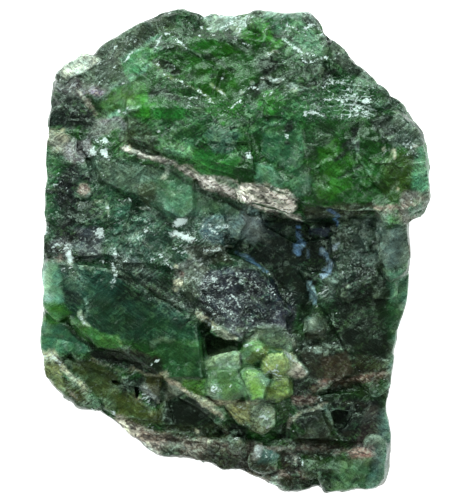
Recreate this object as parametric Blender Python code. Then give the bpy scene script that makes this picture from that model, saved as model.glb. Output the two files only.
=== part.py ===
"""A broken peridot crystal, one piece of stone, lying on the flat back of its prism.

The long axis of the crystal runs along Y, with the pointed end at +Y. The broken front looks up, to +Z.
A thick head stands over the rest of the front in one long ledge. Below it the fracture goes down in steps, with
a nest of paler chips at the middle. All sizes are millimetres until the mesh is made.
"""

import math
import random

import bmesh
import bpy
from mathutils import Vector

MM = 0.001
STONE_NAME = "peridot_crystal"
PERIDOT_GREEN = (0.045, 0.16, 0.05, 1.0)
PERIDOT_ROUGHNESS = 0.22
PERIDOT_IOR = 1.67

# Heights over the resting face
ROOT_HEIGHT = 11.0
ROOT_INSET = 0.4
BLOCK_SIZE = 90.0

# The body below the broken front, ring by ring: height, how far inside the outline, and how uneven both are
BODY_RINGS = [
    (0.0, 4.2, 0.0, 0.6),
    (4.6, 1.5, 0.9, 0.7),
    (10.4, 0.0, 1.6, 0.0),
    (14.2, 0.5, 0.5, 0.4),
    (16.6, 1.2, 0.0, 0.5),
]
UNEVEN_SPAN = 3

# The broken rim of each flat piece: how far it falls, how far it lies inside, and how uneven it is
RIM_FALL = 1.1
RIM_WIDTH = 0.42
RIM_PLAY = 0.14

# The widest outline of the stone, seen from the front, clockwise from the left shoulder
GIRDLE = [
    (-18.0, 17.3), (-17.1, 18.5), (-15.2, 19.5), (-14.1, 19.4), (-13.6, 20.1), (-9.5, 22.5),
    (-6.3, 24.1), (-5.4, 24.2), (-3.5, 23.6), (0.5, 23.3), (2.6, 23.8), (5.0, 23.4), (7.3, 23.7),
    (8.4, 22.7), (9.0, 21.6), (9.8, 21.2), (12.0, 18.4), (13.4, 17.5), (14.5, 16.1), (16.3, 14.7),
    (17.6, 13.2), (18.6, 11.5), (19.2, 8.5), (19.4, 5.3), (19.0, 3.8), (18.5, 3.3), (17.3, 2.9),
    (17.5, -0.5), (17.2, -4.8), (16.9, -6.6), (16.4, -7.3), (16.0, -9.9), (15.3, -14.5),
    (15.1, -15.5), (15.7, -18.2), (15.4, -21.5), (15.2, -22.9), (14.4, -23.6), (10.5, -24.0),
    (9.1, -24.1), (8.5, -23.6), (7.7, -23.5), (7.3, -24.2), (4.5, -24.1), (3.4, -23.2),
    (1.8, -22.5), (0.3, -21.9), (-1.2, -22.0), (-2.9, -21.2), (-4.5, -20.7), (-6.5, -20.8),
    (-8.0, -20.5), (-9.2, -19.3), (-10.5, -18.2), (-11.8, -16.9), (-13.5, -15.8), (-15.5, -15.7),
    (-17.3, -14.5), (-18.5, -13.2), (-19.3, -12.0), (-19.2, -10.5), (-19.4, -9.5), (-19.2, -4.0),
    (-19.0, 2.0), (-18.8, 8.0), (-18.5, 13.5),
]

# The head: its outline, and the flat faces that end it
HEAD = [
    (-18.2, 16.6), (-15.6, 18.6), (-13.4, 19.4), (-9.3, 22.0), (-6.0, 23.6), (-3.4, 23.0),
    (2.7, 23.3), (7.1, 23.1), (9.4, 21.0), (13.2, 17.2), (16.1, 14.4), (18.4, 11.2), (19.0, 8.2),
    (19.2, 5.4), (18.3, 3.7), (15.0, 3.6), (11.0, 3.7), (6.7, 4.4), (4.4, 5.5), (1.8, 6.6),
    (-1.0, 7.4), (-4.0, 8.3), (-6.6, 9.3), (-9.4, 10.1), (-12.4, 10.6), (-15.6, 11.6), (-18.6, 12.4),
]
HEAD_HEIGHT = 30.0
HEAD_FACES = [
    # name, point on the face, outward normal
    ("head_front", (2.0, 6.0, 25.2), (0.03, 0.10, 1.0)),
    ("head_brow", (0.0, 14.0, 24.3), (-0.05, 0.36, 1.0)),
    ("head_top", (0.0, 22.0, 20.4), (0.02, 0.95, 0.75)),
    ("head_left", (-9.0, 13.0, 23.9), (-0.34, 0.16, 1.0)),
    ("head_left_shoulder", (-15.5, 15.0, 21.2), (-0.75, 0.55, 1.0)),
    ("head_right", (12.0, 13.0, 23.5), (0.42, 0.34, 1.0)),
    ("head_right_flank", (16.8, 8.5, 22.0), (1.0, 0.18, 0.75)),
    ("termination_left", (-9.9, 22.4, 15.5), (-0.50, 0.88, 0.24)),
    ("termination_right", (13.0, 17.9, 15.0), (0.72, 0.70, 0.28)),
]

# The flat faces of the prism, below the head and at the back
PRISM_FACES = [
    ("prism_left_front", (-19.3, -4.0, 12.5), (-0.98, 0.03, 0.13)),
    ("prism_right_front", (17.6, -2.0, 12.5), (0.95, -0.13, 0.20)),
]
BACK_FACES = [
    ("prism_left_back", (-19.1, -4.0, 9.5), (-0.80, 0.04, -0.60)),
    ("prism_right_back", (19.3, 4.0, 9.0), (0.84, -0.07, -0.54)),
    ("back_top", (0.0, 23.9, 10.5), (0.02, 0.76, -0.65)),
    ("back_top_left", (-12.0, 21.3, 9.5), (-0.48, 0.70, -0.53)),
    ("back_top_right", (12.5, 18.3, 9.0), (0.62, 0.58, -0.53)),
    ("back_break", (4.0, -24.0, 9.0), (0.10, -0.84, -0.54)),
    ("back_break_left", (-13.0, -16.4, 8.0), (-0.50, -0.68, -0.54)),
]

# Flat pieces of the broken front: name, outline, height at the middle, rise along X and Y
HEAD_STEPS = [
    ("window_bench", [(6.5, 12.6), (11.0, 13.3), (15.0, 12.9), (17.4, 11.0), (18.3, 5.4), (15.6, 4.2),
                      (10.5, 4.2), (6.5, 5.2)], 25.0, (-0.07, -0.06)),
    ("combed_bench", [(2.3, 15.0), (6.5, 16.2), (10.0, 17.2), (13.4, 16.3), (16.4, 13.8), (14.4, 12.7),
                      (11.0, 12.4), (6.5, 12.6), (2.5, 13.0)], 24.45, (-0.16, -0.28)),
    ("brow_left", [(-11.3, 18.8), (-8.5, 20.2), (-5.5, 20.5), (-3.0, 19.6), (-0.7, 17.8), (-2.0, 15.0),
                   (-7.5, 15.4), (-11.0, 15.6)], 23.2, (0.10, -0.28)),
    ("cheek_left", [(-11.0, 15.0), (-7.5, 15.2), (-2.0, 14.5), (2.0, 13.0), (2.3, 7.4), (-2.0, 8.2),
                    (-7.0, 9.6), (-11.0, 10.6)], 24.9, (0.08, -0.14)),
    ("grey_shoulder", [(-17.4, 16.2), (-13.6, 18.8), (-11.2, 18.6), (-11.6, 14.0), (-14.0, 13.0),
                       (-17.6, 12.8)], 21.6, (0.30, -0.10)),
    ("pale_corner", [(-17.7, 17.1), (-16.9, 18.2), (-15.2, 19.2), (-13.4, 18.9), (-12.9, 17.8),
                     (-14.8, 17.0)], 20.9, (0.18, -0.30)),
    ("crest_left", [(-7.6, 22.6), (-5.8, 23.4), (-3.6, 22.8), (-3.5, 21.0), (-7.8, 21.2)],
     21.0, (0.05, -0.25)),
    ("crest_right", [(2.0, 23.0), (7.0, 23.0), (8.8, 20.6), (7.0, 19.0), (2.6, 20.0)],
     21.8, (-0.06, -0.35)),
    ("flank_fin", [(9.2, 19.8), (11.6, 18.2), (13.0, 16.9), (11.0, 16.4), (9.0, 17.8)],
     22.9, (-0.30, -0.10)),
    ("lower_lobe", [(7.0, 8.4), (10.0, 9.6), (13.0, 7.4), (12.4, 4.3), (7.4, 4.6)],
     25.5, (-0.05, 0.02)),
]

FRONT_STEPS = [
    ("recess_floor", [(-19.0, 12.0), (17.4, 4.5), (17.2, -0.5), (15.8, -10.0), (15.2, -15.5),
                      (-5.0, -15.5), (-18.5, -11.0)], 18.7, (0.0, 0.04)),
    ("left_floor", [(-19.0, 12.0), (-11.0, 10.8), (-3.6, 7.2), (-0.6, 3.4), (-1.4, -1.6), (-4.0, -7.6),
                    (-4.4, -13.0), (-12.0, -11.0), (-18.6, -8.4)], 21.5, (0.03, 0.03)),
    ("right_floor", [(9.6, 4.0), (17.2, 4.0), (17.0, -1.0), (16.2, -8.0), (14.6, -13.6), (6.4, -12.4),
                     (6.8, -7.0), (9.2, -2.0)], 19.9, (-0.06, 0.05)),
    ("ledge_root", [(-18.2, 13.4), (-12.0, 12.2), (-6.6, 11.0), (-1.0, 9.2), (4.4, 7.2), (11.0, 5.8),
                    (18.2, 5.4), (18.0, 3.6), (11.0, 3.0), (5.4, 3.4), (-0.2, 5.2), (-4.4, 6.8),
                    (-8.0, 8.8), (-13.0, 10.6), (-18.4, 11.6)], 21.8, (0.0, 0.12)),
    ("lip_left", [(-7.4, 10.4), (-3.8, 8.9), (-1.2, 8.0), (1.0, 7.0), (0.3, 5.0), (-2.0, 6.0),
                  (-4.2, 7.2), (-7.2, 8.9)], 24.0, (-0.08, 0.55)),
    ("lip_middle", [(0.2, 7.4), (3.2, 7.2), (5.8, 6.4), (8.2, 5.4), (7.2, 2.8), (5.0, 3.7), (2.7, 4.2),
                    (0.3, 5.0)], 23.7, (-0.05, 0.70)),
    ("lip_right", [(5.6, 5.8), (11.0, 5.4), (16.0, 5.2), (18.8, 5.0), (18.4, 3.3), (16.0, 3.1),
                   (11.0, 3.1), (6.8, 2.8)], 23.4, (-0.08, 0.55)),
    ("grey_slab", [(-15.2, 12.0), (-11.5, 11.2), (-7.0, 9.4), (-4.4, 7.6), (-6.9, 3.4), (-9.5, 5.0),
                   (-13.6, 6.8)], 23.6, (0.04, -0.04)),
    ("pale_facet", [(-6.9, 8.2), (-4.1, 7.2), (-3.9, 3.8), (-5.4, 2.7), (-7.2, 3.8)],
     24.0, (0.02, -0.20)),
    ("left_rough", [(-18.6, 11.5), (-15.0, 9.2), (-13.5, 6.8), (-9.6, 5.0), (-11.4, -1.0),
                    (-17.4, -1.2), (-18.8, 0.0)], 22.5, (0.05, 0.06)),
    ("middle_rough", [(-13.5, 6.6), (-7.4, 3.6), (-3.8, 2.8), (-1.0, -0.4), (-5.4, -2.5), (-11.4, -1.6)],
     22.1, (0.03, 0.02)),
    ("under_facet", [(-4.4, 7.0), (0.2, 4.8), (1.8, 3.0), (-0.2, 0.2), (-3.6, 0.5)],
     21.4, (-0.12, 0.10)),
    ("glitter_bank", [(-5.6, -1.2), (-1.0, -0.2), (2.7, -1.6), (4.8, -4.8), (5.3, -8.0), (1.0, -8.8),
                      (-3.2, -7.2), (-5.8, -4.0)], 21.7, (-0.06, -0.02)),
    ("glitter_edge", [(-5.4, -3.4), (-3.6, -6.2), (0.0, -8.6), (0.6, -7.6), (-2.6, -5.2), (-4.4, -2.8)],
     22.6, (-0.10, 0.06)),
    ("right_rough", [(9.4, 3.2), (14.6, 3.2), (15.2, -5.0), (10.8, -5.4), (9.2, -1.0)],
     20.9, (-0.05, 0.02)),
    ("right_flake", [(14.5, 2.6), (17.0, 2.8), (17.2, -1.2), (15.3, -2.0), (13.9, -1.2)],
     21.7, (-0.34, 0.06)),
    ("right_flank", [(6.2, -2.0), (15.3, -2.4), (16.0, -8.6), (15.3, -10.6), (11.0, -10.4), (8.4, -6.0)],
     20.2, (-0.10, 0.05)),
    ("small_knob", [(6.8, -6.6), (8.3, -6.6), (9.2, -8.0), (8.3, -8.8), (6.5, -8.5)],
     21.4, (0.0, 0.10)),
    ("glass_face", [(-17.6, -1.0), (-11.4, -1.6), (-8.9, -3.0), (-5.3, -5.8), (-3.5, -7.2), (-2.8, -12.8),
                    (-7.0, -13.0), (-11.5, -10.0), (-15.0, -7.5), (-18.2, -5.0)], 22.3, (0.0, 0.06)),
    ("glass_flange", [(-16.6, -6.6), (-12.0, -8.4), (-7.2, -9.4), (-6.9, -12.9), (-11.5, -10.3),
                      (-14.2, -9.6)], 21.9, (0.02, 0.16)),
    ("left_strip", [(-19.0, -0.5), (-17.0, -0.5), (-16.6, -6.5), (-14.4, -10.4), (-18.0, -10.6),
                    (-19.2, -9.6)], 20.7, (0.22, 0.04)),
]

LOWER_STEPS = [
    ("break_floor", [(-19.2, -10.0), (15.6, -10.0), (15.4, -22.4), (9.0, -23.6), (3.0, -22.4),
                     (-5.0, -20.2), (-12.0, -16.4), (-18.0, -13.4)], 17.3, (-0.02, 0.10)),
    ("left_layers", [(-18.0, -9.0), (-7.0, -11.6), (-5.8, -17.4), (-9.6, -18.4), (-15.6, -14.4)],
     19.3, (0.02, 0.16)),
    ("right_layers", [(5.6, -9.0), (15.0, -9.6), (15.0, -21.0), (9.6, -21.6), (4.6, -19.6)],
     18.3, (-0.05, 0.08)),
    ("nest_floor", [(-3.0, -10.6), (3.8, -9.4), (6.8, -12.4), (4.6, -18.2), (-2.8, -16.2)],
     19.9, (0.0, 0.18)),
    ("dark_shelf", [(-17.6, -9.0), (-14.0, -9.8), (-11.0, -10.6), (-7.0, -12.4), (-7.1, -14.6),
                    (-11.5, -13.0), (-15.4, -11.4)], 20.7, (0.0, 0.12)),
    ("olive_wedge", [(-19.0, -10.6), (-17.4, -10.6), (-15.0, -13.6), (-13.4, -15.6), (-15.6, -15.6),
                     (-17.4, -14.2), (-19.2, -12.0)], 19.8, (0.16, 0.10)),
    ("second_shelf", [(-17.2, -10.6), (-11.5, -12.4), (-7.2, -13.8), (-7.3, -17.0), (-11.6, -16.6),
                      (-14.4, -14.6)], 19.9, (0.02, 0.14)),
    ("seam_ridge", [(-7.0, -12.8), (-5.4, -13.5), (-3.0, -14.8), (-0.4, -16.0), (-1.4, -17.6),
                    (-3.4, -15.8), (-6.6, -14.4)], 20.6, (0.02, 0.18)),
    ("dark_window", [(-7.2, -14.4), (-3.2, -14.8), (-1.0, -17.4), (-3.4, -19.0), (-7.3, -18.2)],
     18.6, (0.02, 0.12)),
    ("right_shelf", [(5.5, -8.6), (11.0, -9.6), (15.5, -10.4), (15.2, -13.4), (11.0, -13.2),
                     (5.6, -15.2)], 19.8, (-0.06, 0.06)),
    ("right_shelf_low", [(5.4, -15.0), (11.0, -13.6), (15.2, -13.8), (15.2, -19.2), (9.5, -19.6),
                         (5.4, -19.0)], 19.0, (-0.04, 0.10)),
    ("split_block", [(5.3, -16.6), (8.6, -15.8), (9.6, -17.4), (10.6, -19.2), (6.0, -18.8)],
     19.9, (-0.03, 0.10)),
    ("brown_band", [(-11.6, -16.9), (-7.4, -17.6), (1.4, -19.0), (9.4, -19.6), (9.2, -21.4),
                    (1.6, -22.0), (-4.6, -20.6), (-9.0, -19.4)], 18.4, (0.0, 0.20)),
    ("foot_block", [(9.3, -20.4), (13.8, -19.2), (15.4, -18.0), (15.2, -22.8), (10.6, -23.8),
                    (9.2, -23.9)], 19.5, (-0.10, 0.06)),
    ("foot_chunk", [(2.2, -20.2), (9.2, -20.6), (9.0, -23.0), (7.2, -24.0), (4.6, -23.8), (2.8, -22.6)],
     17.9, (0.02, 0.12)),
    ("clear_splinter", [(2.0, -19.2), (3.6, -19.6), (4.3, -20.6), (3.0, -21.2), (1.9, -20.8)],
     19.3, (-0.12, 0.18)),
    ("toe_splinter", [(3.4, -22.2), (4.6, -22.4), (5.4, -23.8), (4.3, -24.0), (3.2, -23.0)],
     18.0, (0.10, 0.10)),
]

CHIPS = [
    ("chip_pale", [(-2.7, -10.4), (-0.2, -9.6), (0.9, -9.8), (0.6, -11.8), (-2.5, -11.8)],
     21.2, (-0.05, 0.22)),
    ("chip_sparkling", [(0.5, -9.2), (2.4, -8.9), (3.3, -9.6), (2.8, -11.3), (0.6, -11.6)],
     21.9, (0.05, 0.10)),
    ("chip_lime", [(3.2, -9.6), (4.5, -10.0), (5.4, -11.2), (4.8, -12.4), (2.6, -12.1)],
     22.4, (-0.06, 0.16)),
    ("chip_grey_tip", [(4.4, -9.6), (5.6, -10.6), (6.9, -12.0), (5.6, -12.8), (4.6, -12.2)],
     21.6, (-0.14, 0.10)),
    ("chip_front", [(-2.7, -11.5), (0.6, -11.7), (0.9, -14.2), (-0.6, -15.1), (-2.8, -14.4)],
     22.0, (0.02, 0.12)),
    ("chip_bright", [(0.6, -11.6), (2.6, -11.8), (3.2, -13.2), (2.9, -15.0), (1.2, -15.2), (0.7, -13.6)],
     22.6, (0.04, 0.12)),
    ("chip_olive", [(3.0, -12.6), (5.4, -12.6), (5.5, -14.4), (4.2, -15.1), (2.9, -14.8)],
     21.6, (-0.02, 0.18)),
    ("chip_foot", [(-1.3, -15.2), (2.0, -15.2), (3.9, -15.6), (4.0, -17.6), (2.6, -18.4), (0.4, -17.2)],
     20.8, (-0.03, 0.22)),
    ("chip_tail", [(-6.0, -13.0), (-2.6, -12.8), (-2.6, -14.4), (-4.2, -14.2)],
     21.3, (0.04, 0.14)),
]

# Small sharp lumps that the fracture left, in seeded scatters:
# name, count, corner to corner of the scattered strip, half its width, height there, size
LUMP_FIELDS = [
    ("glitter_lump", 26, (-4.6, -2.6), (3.8, -6.6), 1.9, 21.7, 0.75),
    ("rim_lump", 12, (-3.8, -6.4), (0.4, -8.4), 0.5, 22.3, 0.60),
    ("left_lump", 22, (-17.2, 4.6), (-8.0, 0.4), 2.2, 22.4, 0.70),
    ("right_lump", 16, (10.6, 2.0), (13.6, -2.6), 1.3, 20.9, 0.70),
    ("comb_lump", 14, (4.2, 14.6), (13.6, 14.0), 1.1, 24.3, 0.65),
    ("brown_lump", 18, (-10.4, -17.8), (7.6, -20.4), 0.7, 18.6, 0.65),
    ("shoulder_lump", 14, (-16.4, 12.2), (-11.6, 10.6), 1.2, 22.4, 0.75),
    ("foot_lump", 7, (-7.4, -18.2), (-0.8, -19.6), 0.3, 17.8, 0.75),
]

# Notches cut back into the stone: name, outline, height of the notch's floor, rise along X and Y
NOTCHES = [
    ("dark_hollow", [(-3.0, -8.4), (0.4, -9.2), (0.3, -10.0), (-2.7, -10.6)], 17.2, (0.0, 0.10)),
    ("ledge_shadow", [(3.2, 3.9), (6.8, 2.6), (10.4, 2.9), (10.2, 1.4), (6.0, 0.6), (2.8, 2.4)],
     17.6, (0.0, 0.05)),
    ("shelf_gap", [(-12.6, -12.7), (-9.4, -13.6), (-9.8, -15.2), (-12.2, -14.2)], 18.4, (0.0, 0.05)),
    ("shelf_gap_right", [(9.4, -15.9), (11.6, -16.2), (10.6, -18.0), (9.8, -17.2)], 17.4, (0.0, 0.05)),
]


def new_collection(name):
    collection = bpy.data.collections.new(name)
    bpy.context.scene.collection.children.link(collection)
    return collection


def new_object(name, form, collection, helper=True):
    """Makes an object of a bmesh in millimetres. A helper is a tool for a Boolean and isn't rendered."""
    mesh = bpy.data.meshes.new(name)
    bmesh.ops.triangulate(form, faces=form.faces)
    bmesh.ops.recalc_face_normals(form, faces=form.faces)
    bmesh.ops.scale(form, vec=(MM, MM, MM), verts=form.verts)
    form.to_mesh(mesh)
    form.free()
    made = bpy.data.objects.new(name, mesh)
    collection.objects.link(made)
    if helper:
        made.hide_render = True
        made.display_type = "WIRE"
    return made


def middle_of(outline):
    return Vector((sum(p[0] for p in outline) / len(outline), sum(p[1] for p in outline) / len(outline)))


def tilted_prism(outline, low, high, rise=(0.0, 0.0), rim=0.0):
    """A prism over an outline, a little narrower at its foot. Its top is a plane that rises along X and Y.
    With a rim, a slanting band leads from the top down to the walls."""
    form = bmesh.new()
    middle = middle_of(outline)
    face = form.faces.new([form.verts.new((x, y, low)) for x, y in outline])
    rings = [list(form.verts)]
    for _ in range(2 if rim else 1):
        grown = bmesh.ops.extrude_face_region(form, geom=[face])["geom"]
        old = face
        face = [item for item in grown if isinstance(item, bmesh.types.BMFace)][0]
        if rings[1:]:
            form.faces.remove(old)
        rings.append([item for item in grown if isinstance(item, bmesh.types.BMVert)])
    moves = [(-ROOT_INSET, None), (0.0, 0.0)]
    if rim:
        moves = [(-ROOT_INSET, None), (0.0, RIM_FALL), (-rim, 0.0)]
    for ring, (spread, fall) in zip(rings, moves):
        for vert in ring:
            away = vert.co.xy - middle
            if fall is not None:
                vert.co.z = high + rise[0] * away.x + rise[1] * away.y - fall
            if away.length > 0:
                vert.co.xy += away.normalized() * spread
    return form


def uneven_row(count, span, chance):
    """A smooth row of numbers from -1 to 1 that joins up at its ends, with a new value every few places."""
    knots = max(3, count // span)
    values = [chance.uniform(-1.0, 1.0) for _ in range(knots)]
    row = []
    for number in range(count):
        place = number * knots / count
        first = int(place) % knots
        share = place - int(place)
        row.append(values[first] * (1.0 - share) + values[(first + 1) % knots] * share)
    return row


def ringed_body(outline, rings, chance):
    """The body of the stone: rings of the same outline at rising heights, each drawn in by its own amount."""
    form = bmesh.new()
    count = len(outline)
    made = []
    for height, inset, height_play, inset_play in rings:
        heights = uneven_row(count, UNEVEN_SPAN, chance)
        insets = uneven_row(count, UNEVEN_SPAN, chance)
        ring = []
        for number in range(count):
            place = Vector(outline[number])
            place -= place.normalized() * (inset + inset_play * insets[number])
            ring.append(form.verts.new((place.x, place.y, height + height_play * heights[number])))
        made.append(ring)
    for lower, upper in zip(made, made[1:]):
        for number in range(count):
            after = (number + 1) % count
            if number % 2:
                form.faces.new((lower[number], lower[after], upper[after]))
                form.faces.new((lower[number], upper[after], upper[number]))
            else:
                form.faces.new((lower[number], lower[after], upper[number]))
                form.faces.new((lower[after], upper[after], upper[number]))
    form.faces.new(made[0])
    form.faces.new(made[-1])
    return form


def outside_block(point, normal):
    """A block that fills everything outside a flat crystal face, for cutting that face."""
    form = bmesh.new()
    bmesh.ops.create_cube(form, size=BLOCK_SIZE)
    bmesh.ops.translate(form, vec=(0.0, 0.0, BLOCK_SIZE / 2), verts=form.verts)
    turn = Vector(normal).normalized().to_track_quat("Z", "Y")
    bmesh.ops.rotate(form, cent=(0, 0, 0), matrix=turn.to_matrix(), verts=form.verts)
    bmesh.ops.translate(form, vec=Vector(point), verts=form.verts)
    return form


def lump(place, height, size, chance):
    """A small sharp lump that stands on the break: a few slanting flats that meet at an edge or a point."""
    corners = chance.choice((4, 5, 5, 6))
    turn = chance.uniform(0.0, math.tau)
    long_way = chance.uniform(0.0, math.pi)
    peak = Vector((chance.uniform(-0.5, 0.5), chance.uniform(-0.5, 0.5))) * size
    form = bmesh.new()
    for number in range(corners):
        angle = turn + math.tau * (number + chance.uniform(-0.25, 0.25)) / corners
        reach = size * (1.0 + 0.45 * abs(math.cos(angle - long_way)))
        out = Vector((math.cos(angle), math.sin(angle)))
        for spread, level in ((1.6, ROOT_HEIGHT), (1.0, height - size * chance.uniform(0.15, 0.6))):
            form.verts.new((place + out * reach * spread).to_3d() + Vector((0.0, 0.0, level)))
    for shift in (peak, peak * -0.4):
        form.verts.new((place + shift).to_3d() + Vector((0.0, 0.0, height + size * chance.uniform(0.1, 0.5))))
    bmesh.ops.convex_hull(form, input=form.verts)
    loose = [vert for vert in form.verts if not vert.link_faces]
    bmesh.ops.delete(form, geom=loose, context="VERTS")
    return form


def add_lumps(field, collection, chance):
    name, count, start, end, half_width, height, size = field
    along = Vector(end) - Vector(start)
    across = Vector((-along.y, along.x)).normalized()
    for number in range(count):
        place = Vector(start) + along * chance.random() + across * chance.uniform(-half_width, half_width)
        grown = size * chance.uniform(0.7, 1.5)
        form = lump(place, height + chance.uniform(-0.4, 0.2), grown, chance)
        new_object(f"{name}_{number:02d}", form, collection)


def add_steps(steps, collection, chance):
    for name, outline, height, rise in steps:
        uneven = [(x + chance.uniform(-RIM_PLAY, RIM_PLAY), y + chance.uniform(-RIM_PLAY, RIM_PLAY))
                  for x, y in outline]
        root = ROOT_HEIGHT + chance.uniform(-0.5, 0.5)
        new_object(name, tilted_prism(uneven, root, height, rise, RIM_WIDTH), collection)


def add_faces(faces, collection):
    for name, point, normal in faces:
        new_object(name, outside_block(point, normal), collection)


def boolean(target, operation, collection=None, tool=None):
    modifier = target.modifiers.new(operation.title(), "BOOLEAN")
    modifier.operation = operation
    modifier.solver = "EXACT"
    if collection is not None:
        modifier.operand_type = "COLLECTION"
        modifier.collection = collection
    else:
        modifier.object = tool


def settle_mesh(stone):
    """Makes the stone's modifiers part of its mesh, fills the pockets that lie sealed inside it, and moves it
    so that the middle of its resting face's box is the origin."""
    settled = stone.evaluated_get(bpy.context.evaluated_depsgraph_get())
    mesh = bpy.data.meshes.new_from_object(settled)
    stone.modifiers.clear()
    form = bmesh.new()
    form.from_mesh(mesh)
    waiting = set(form.verts)
    shells = []
    while waiting:
        front = [waiting.pop()]
        shell = list(front)
        while front:
            vert = front.pop()
            near = [edge.other_vert(vert) for edge in vert.link_edges]
            fresh = [other for other in near if other in waiting]
            waiting.difference_update(fresh)
            front.extend(fresh)
            shell.extend(fresh)
        shells.append(shell)
    shells.sort(key=len)
    for shell in shells[:-1]:
        bmesh.ops.delete(form, geom=shell, context="VERTS")
    spans = [[vert.co[axis] for vert in form.verts] for axis in range(3)]
    middle = [(min(span) + max(span)) / 2 for span in spans[:2]]
    bmesh.ops.translate(form, vec=(-middle[0], -middle[1], -min(spans[2])), verts=form.verts)
    form.to_mesh(mesh)
    form.free()
    stone.data = mesh


def stone_material():
    material = bpy.data.materials.new("peridot")
    material.use_nodes = True
    shader = material.node_tree.nodes["Principled BSDF"]
    shader.inputs["Base Color"].default_value = PERIDOT_GREEN
    shader.inputs["Roughness"].default_value = PERIDOT_ROUGHNESS
    shader.inputs["Metallic"].default_value = 0.0
    shader.inputs["IOR"].default_value = PERIDOT_IOR
    return material


def build_head():
    growths = new_collection("head_growths")
    faces = new_collection("head_faces")
    head = new_object("head", tilted_prism(HEAD, ROOT_HEIGHT, HEAD_HEIGHT), growths)
    add_faces(HEAD_FACES, faces)
    boolean(head, "DIFFERENCE", faces)
    return head


def build_stone(chance):
    main = new_collection(STONE_NAME)
    growths = new_collection("front_growths")
    flats = new_collection("prism_cuts")
    top_growths = new_collection("top_growths")
    notches = new_collection("notches")

    stone = new_object(STONE_NAME, ringed_body(GIRDLE, BODY_RINGS, chance), main, helper=False)
    add_steps(FRONT_STEPS + LOWER_STEPS + CHIPS, growths, chance)
    boolean(stone, "UNION", growths)
    add_faces(PRISM_FACES, flats)
    boolean(stone, "DIFFERENCE", flats)
    for name, outline, height, rise in NOTCHES:
        new_object(name, tilted_prism(outline, HEAD_HEIGHT, height, rise), notches)
    head = build_head()
    boolean(stone, "UNION", tool=head)
    add_steps(HEAD_STEPS, top_growths, chance)
    for field in LUMP_FIELDS:
        add_lumps(field, top_growths, chance)
    boolean(stone, "UNION", top_growths)
    backs = new_collection("back_cuts")
    add_faces(BACK_FACES, backs)
    boolean(stone, "DIFFERENCE", backs)
    boolean(stone, "DIFFERENCE", notches)
    settle_mesh(stone)
    stone.data.materials.append(stone_material())
    return stone


def main():
    for old in list(bpy.data.objects):
        bpy.data.objects.remove(old)
    build_stone(random.Random(7))


main()
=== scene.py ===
import math

import bmesh
import bpy
import numpy as np
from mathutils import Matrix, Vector


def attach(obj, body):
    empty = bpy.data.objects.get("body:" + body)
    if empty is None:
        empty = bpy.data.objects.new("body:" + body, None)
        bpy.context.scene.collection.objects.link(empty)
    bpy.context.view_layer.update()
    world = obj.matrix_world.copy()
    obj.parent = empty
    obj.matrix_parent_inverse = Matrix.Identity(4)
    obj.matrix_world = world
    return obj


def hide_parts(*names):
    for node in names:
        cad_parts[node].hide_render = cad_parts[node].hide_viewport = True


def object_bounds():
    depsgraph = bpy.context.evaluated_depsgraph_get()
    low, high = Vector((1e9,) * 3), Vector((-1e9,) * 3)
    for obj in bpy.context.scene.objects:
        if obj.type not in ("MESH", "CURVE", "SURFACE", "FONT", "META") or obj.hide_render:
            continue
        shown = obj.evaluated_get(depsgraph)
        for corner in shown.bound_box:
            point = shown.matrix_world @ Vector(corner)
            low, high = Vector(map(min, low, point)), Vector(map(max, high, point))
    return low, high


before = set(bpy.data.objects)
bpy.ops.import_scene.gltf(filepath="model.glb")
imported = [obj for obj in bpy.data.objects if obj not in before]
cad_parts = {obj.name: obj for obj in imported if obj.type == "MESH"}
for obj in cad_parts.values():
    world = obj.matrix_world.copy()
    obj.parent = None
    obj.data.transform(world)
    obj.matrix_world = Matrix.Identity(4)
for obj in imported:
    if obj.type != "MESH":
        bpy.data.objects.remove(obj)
cad_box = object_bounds()


# The stone: one broken crystal of peridot, a clear dark green mineral with earth in its seams. It grew and
# broke as one piece. The solid is remeshed finely, and its breaks are then worked over with small tilted
# facets, ripples, layers, chips and grooves, each kind where the stone has it.

MM = 0.001
VOXEL = 0.21 * MM
MOST_TRIANGLES = 188000

# Marks lie on a sheet over the front, in tenths of a millimetre across from the left and down from the top
SHEET_ACROSS = 235.0
SHEET_DOWN = 249.5
SHEET_UNITS = 10.0


def chance_of(ix, iy, iz, seed):
    """An even number from 0 to 1 for each whole-number place, always the same one for a seed."""
    mixed = ix * 374761393 + iy * 668265263 + iz * 1440662683 + seed * 974634777
    mixed = (mixed ^ (mixed >> 13)) & 0xFFFFFFFF
    mixed = (mixed * 1274126177) & 0xFFFFFFFF
    mixed = (mixed ^ (mixed >> 16)) & 0xFFFFFFFF
    return mixed / float(0xFFFFFFFF)


def cloud(points, size, seed):
    """Smooth noise from -1 to 1, with soft lumps about one size across."""
    place = points / size
    whole = np.floor(place).astype(np.int64)
    part = place - whole
    part = part * part * (3.0 - 2.0 * part)
    total = 0.0
    for dx in (0, 1):
        for dy in (0, 1):
            for dz in (0, 1):
                share = (part[:, 0] if dx else 1 - part[:, 0]) * (part[:, 1] if dy else 1 - part[:, 1])
                share = share * (part[:, 2] if dz else 1 - part[:, 2])
                corner = (whole + np.array((dx, dy, dz))).T
                total = total + share * chance_of(*corner, seed)
    return total * 2.0 - 1.0


def clouds(points, size, seed, layers=3):
    """Noise with finer noise upon it."""
    total, weight, sum_of_weights = 0.0, 1.0, 0.0
    for layer in range(layers):
        total = total + weight * cloud(points, size / 2.0 ** layer, seed + 17 * layer)
        sum_of_weights += weight
        weight *= 0.5
    return total / sum_of_weights


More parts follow.
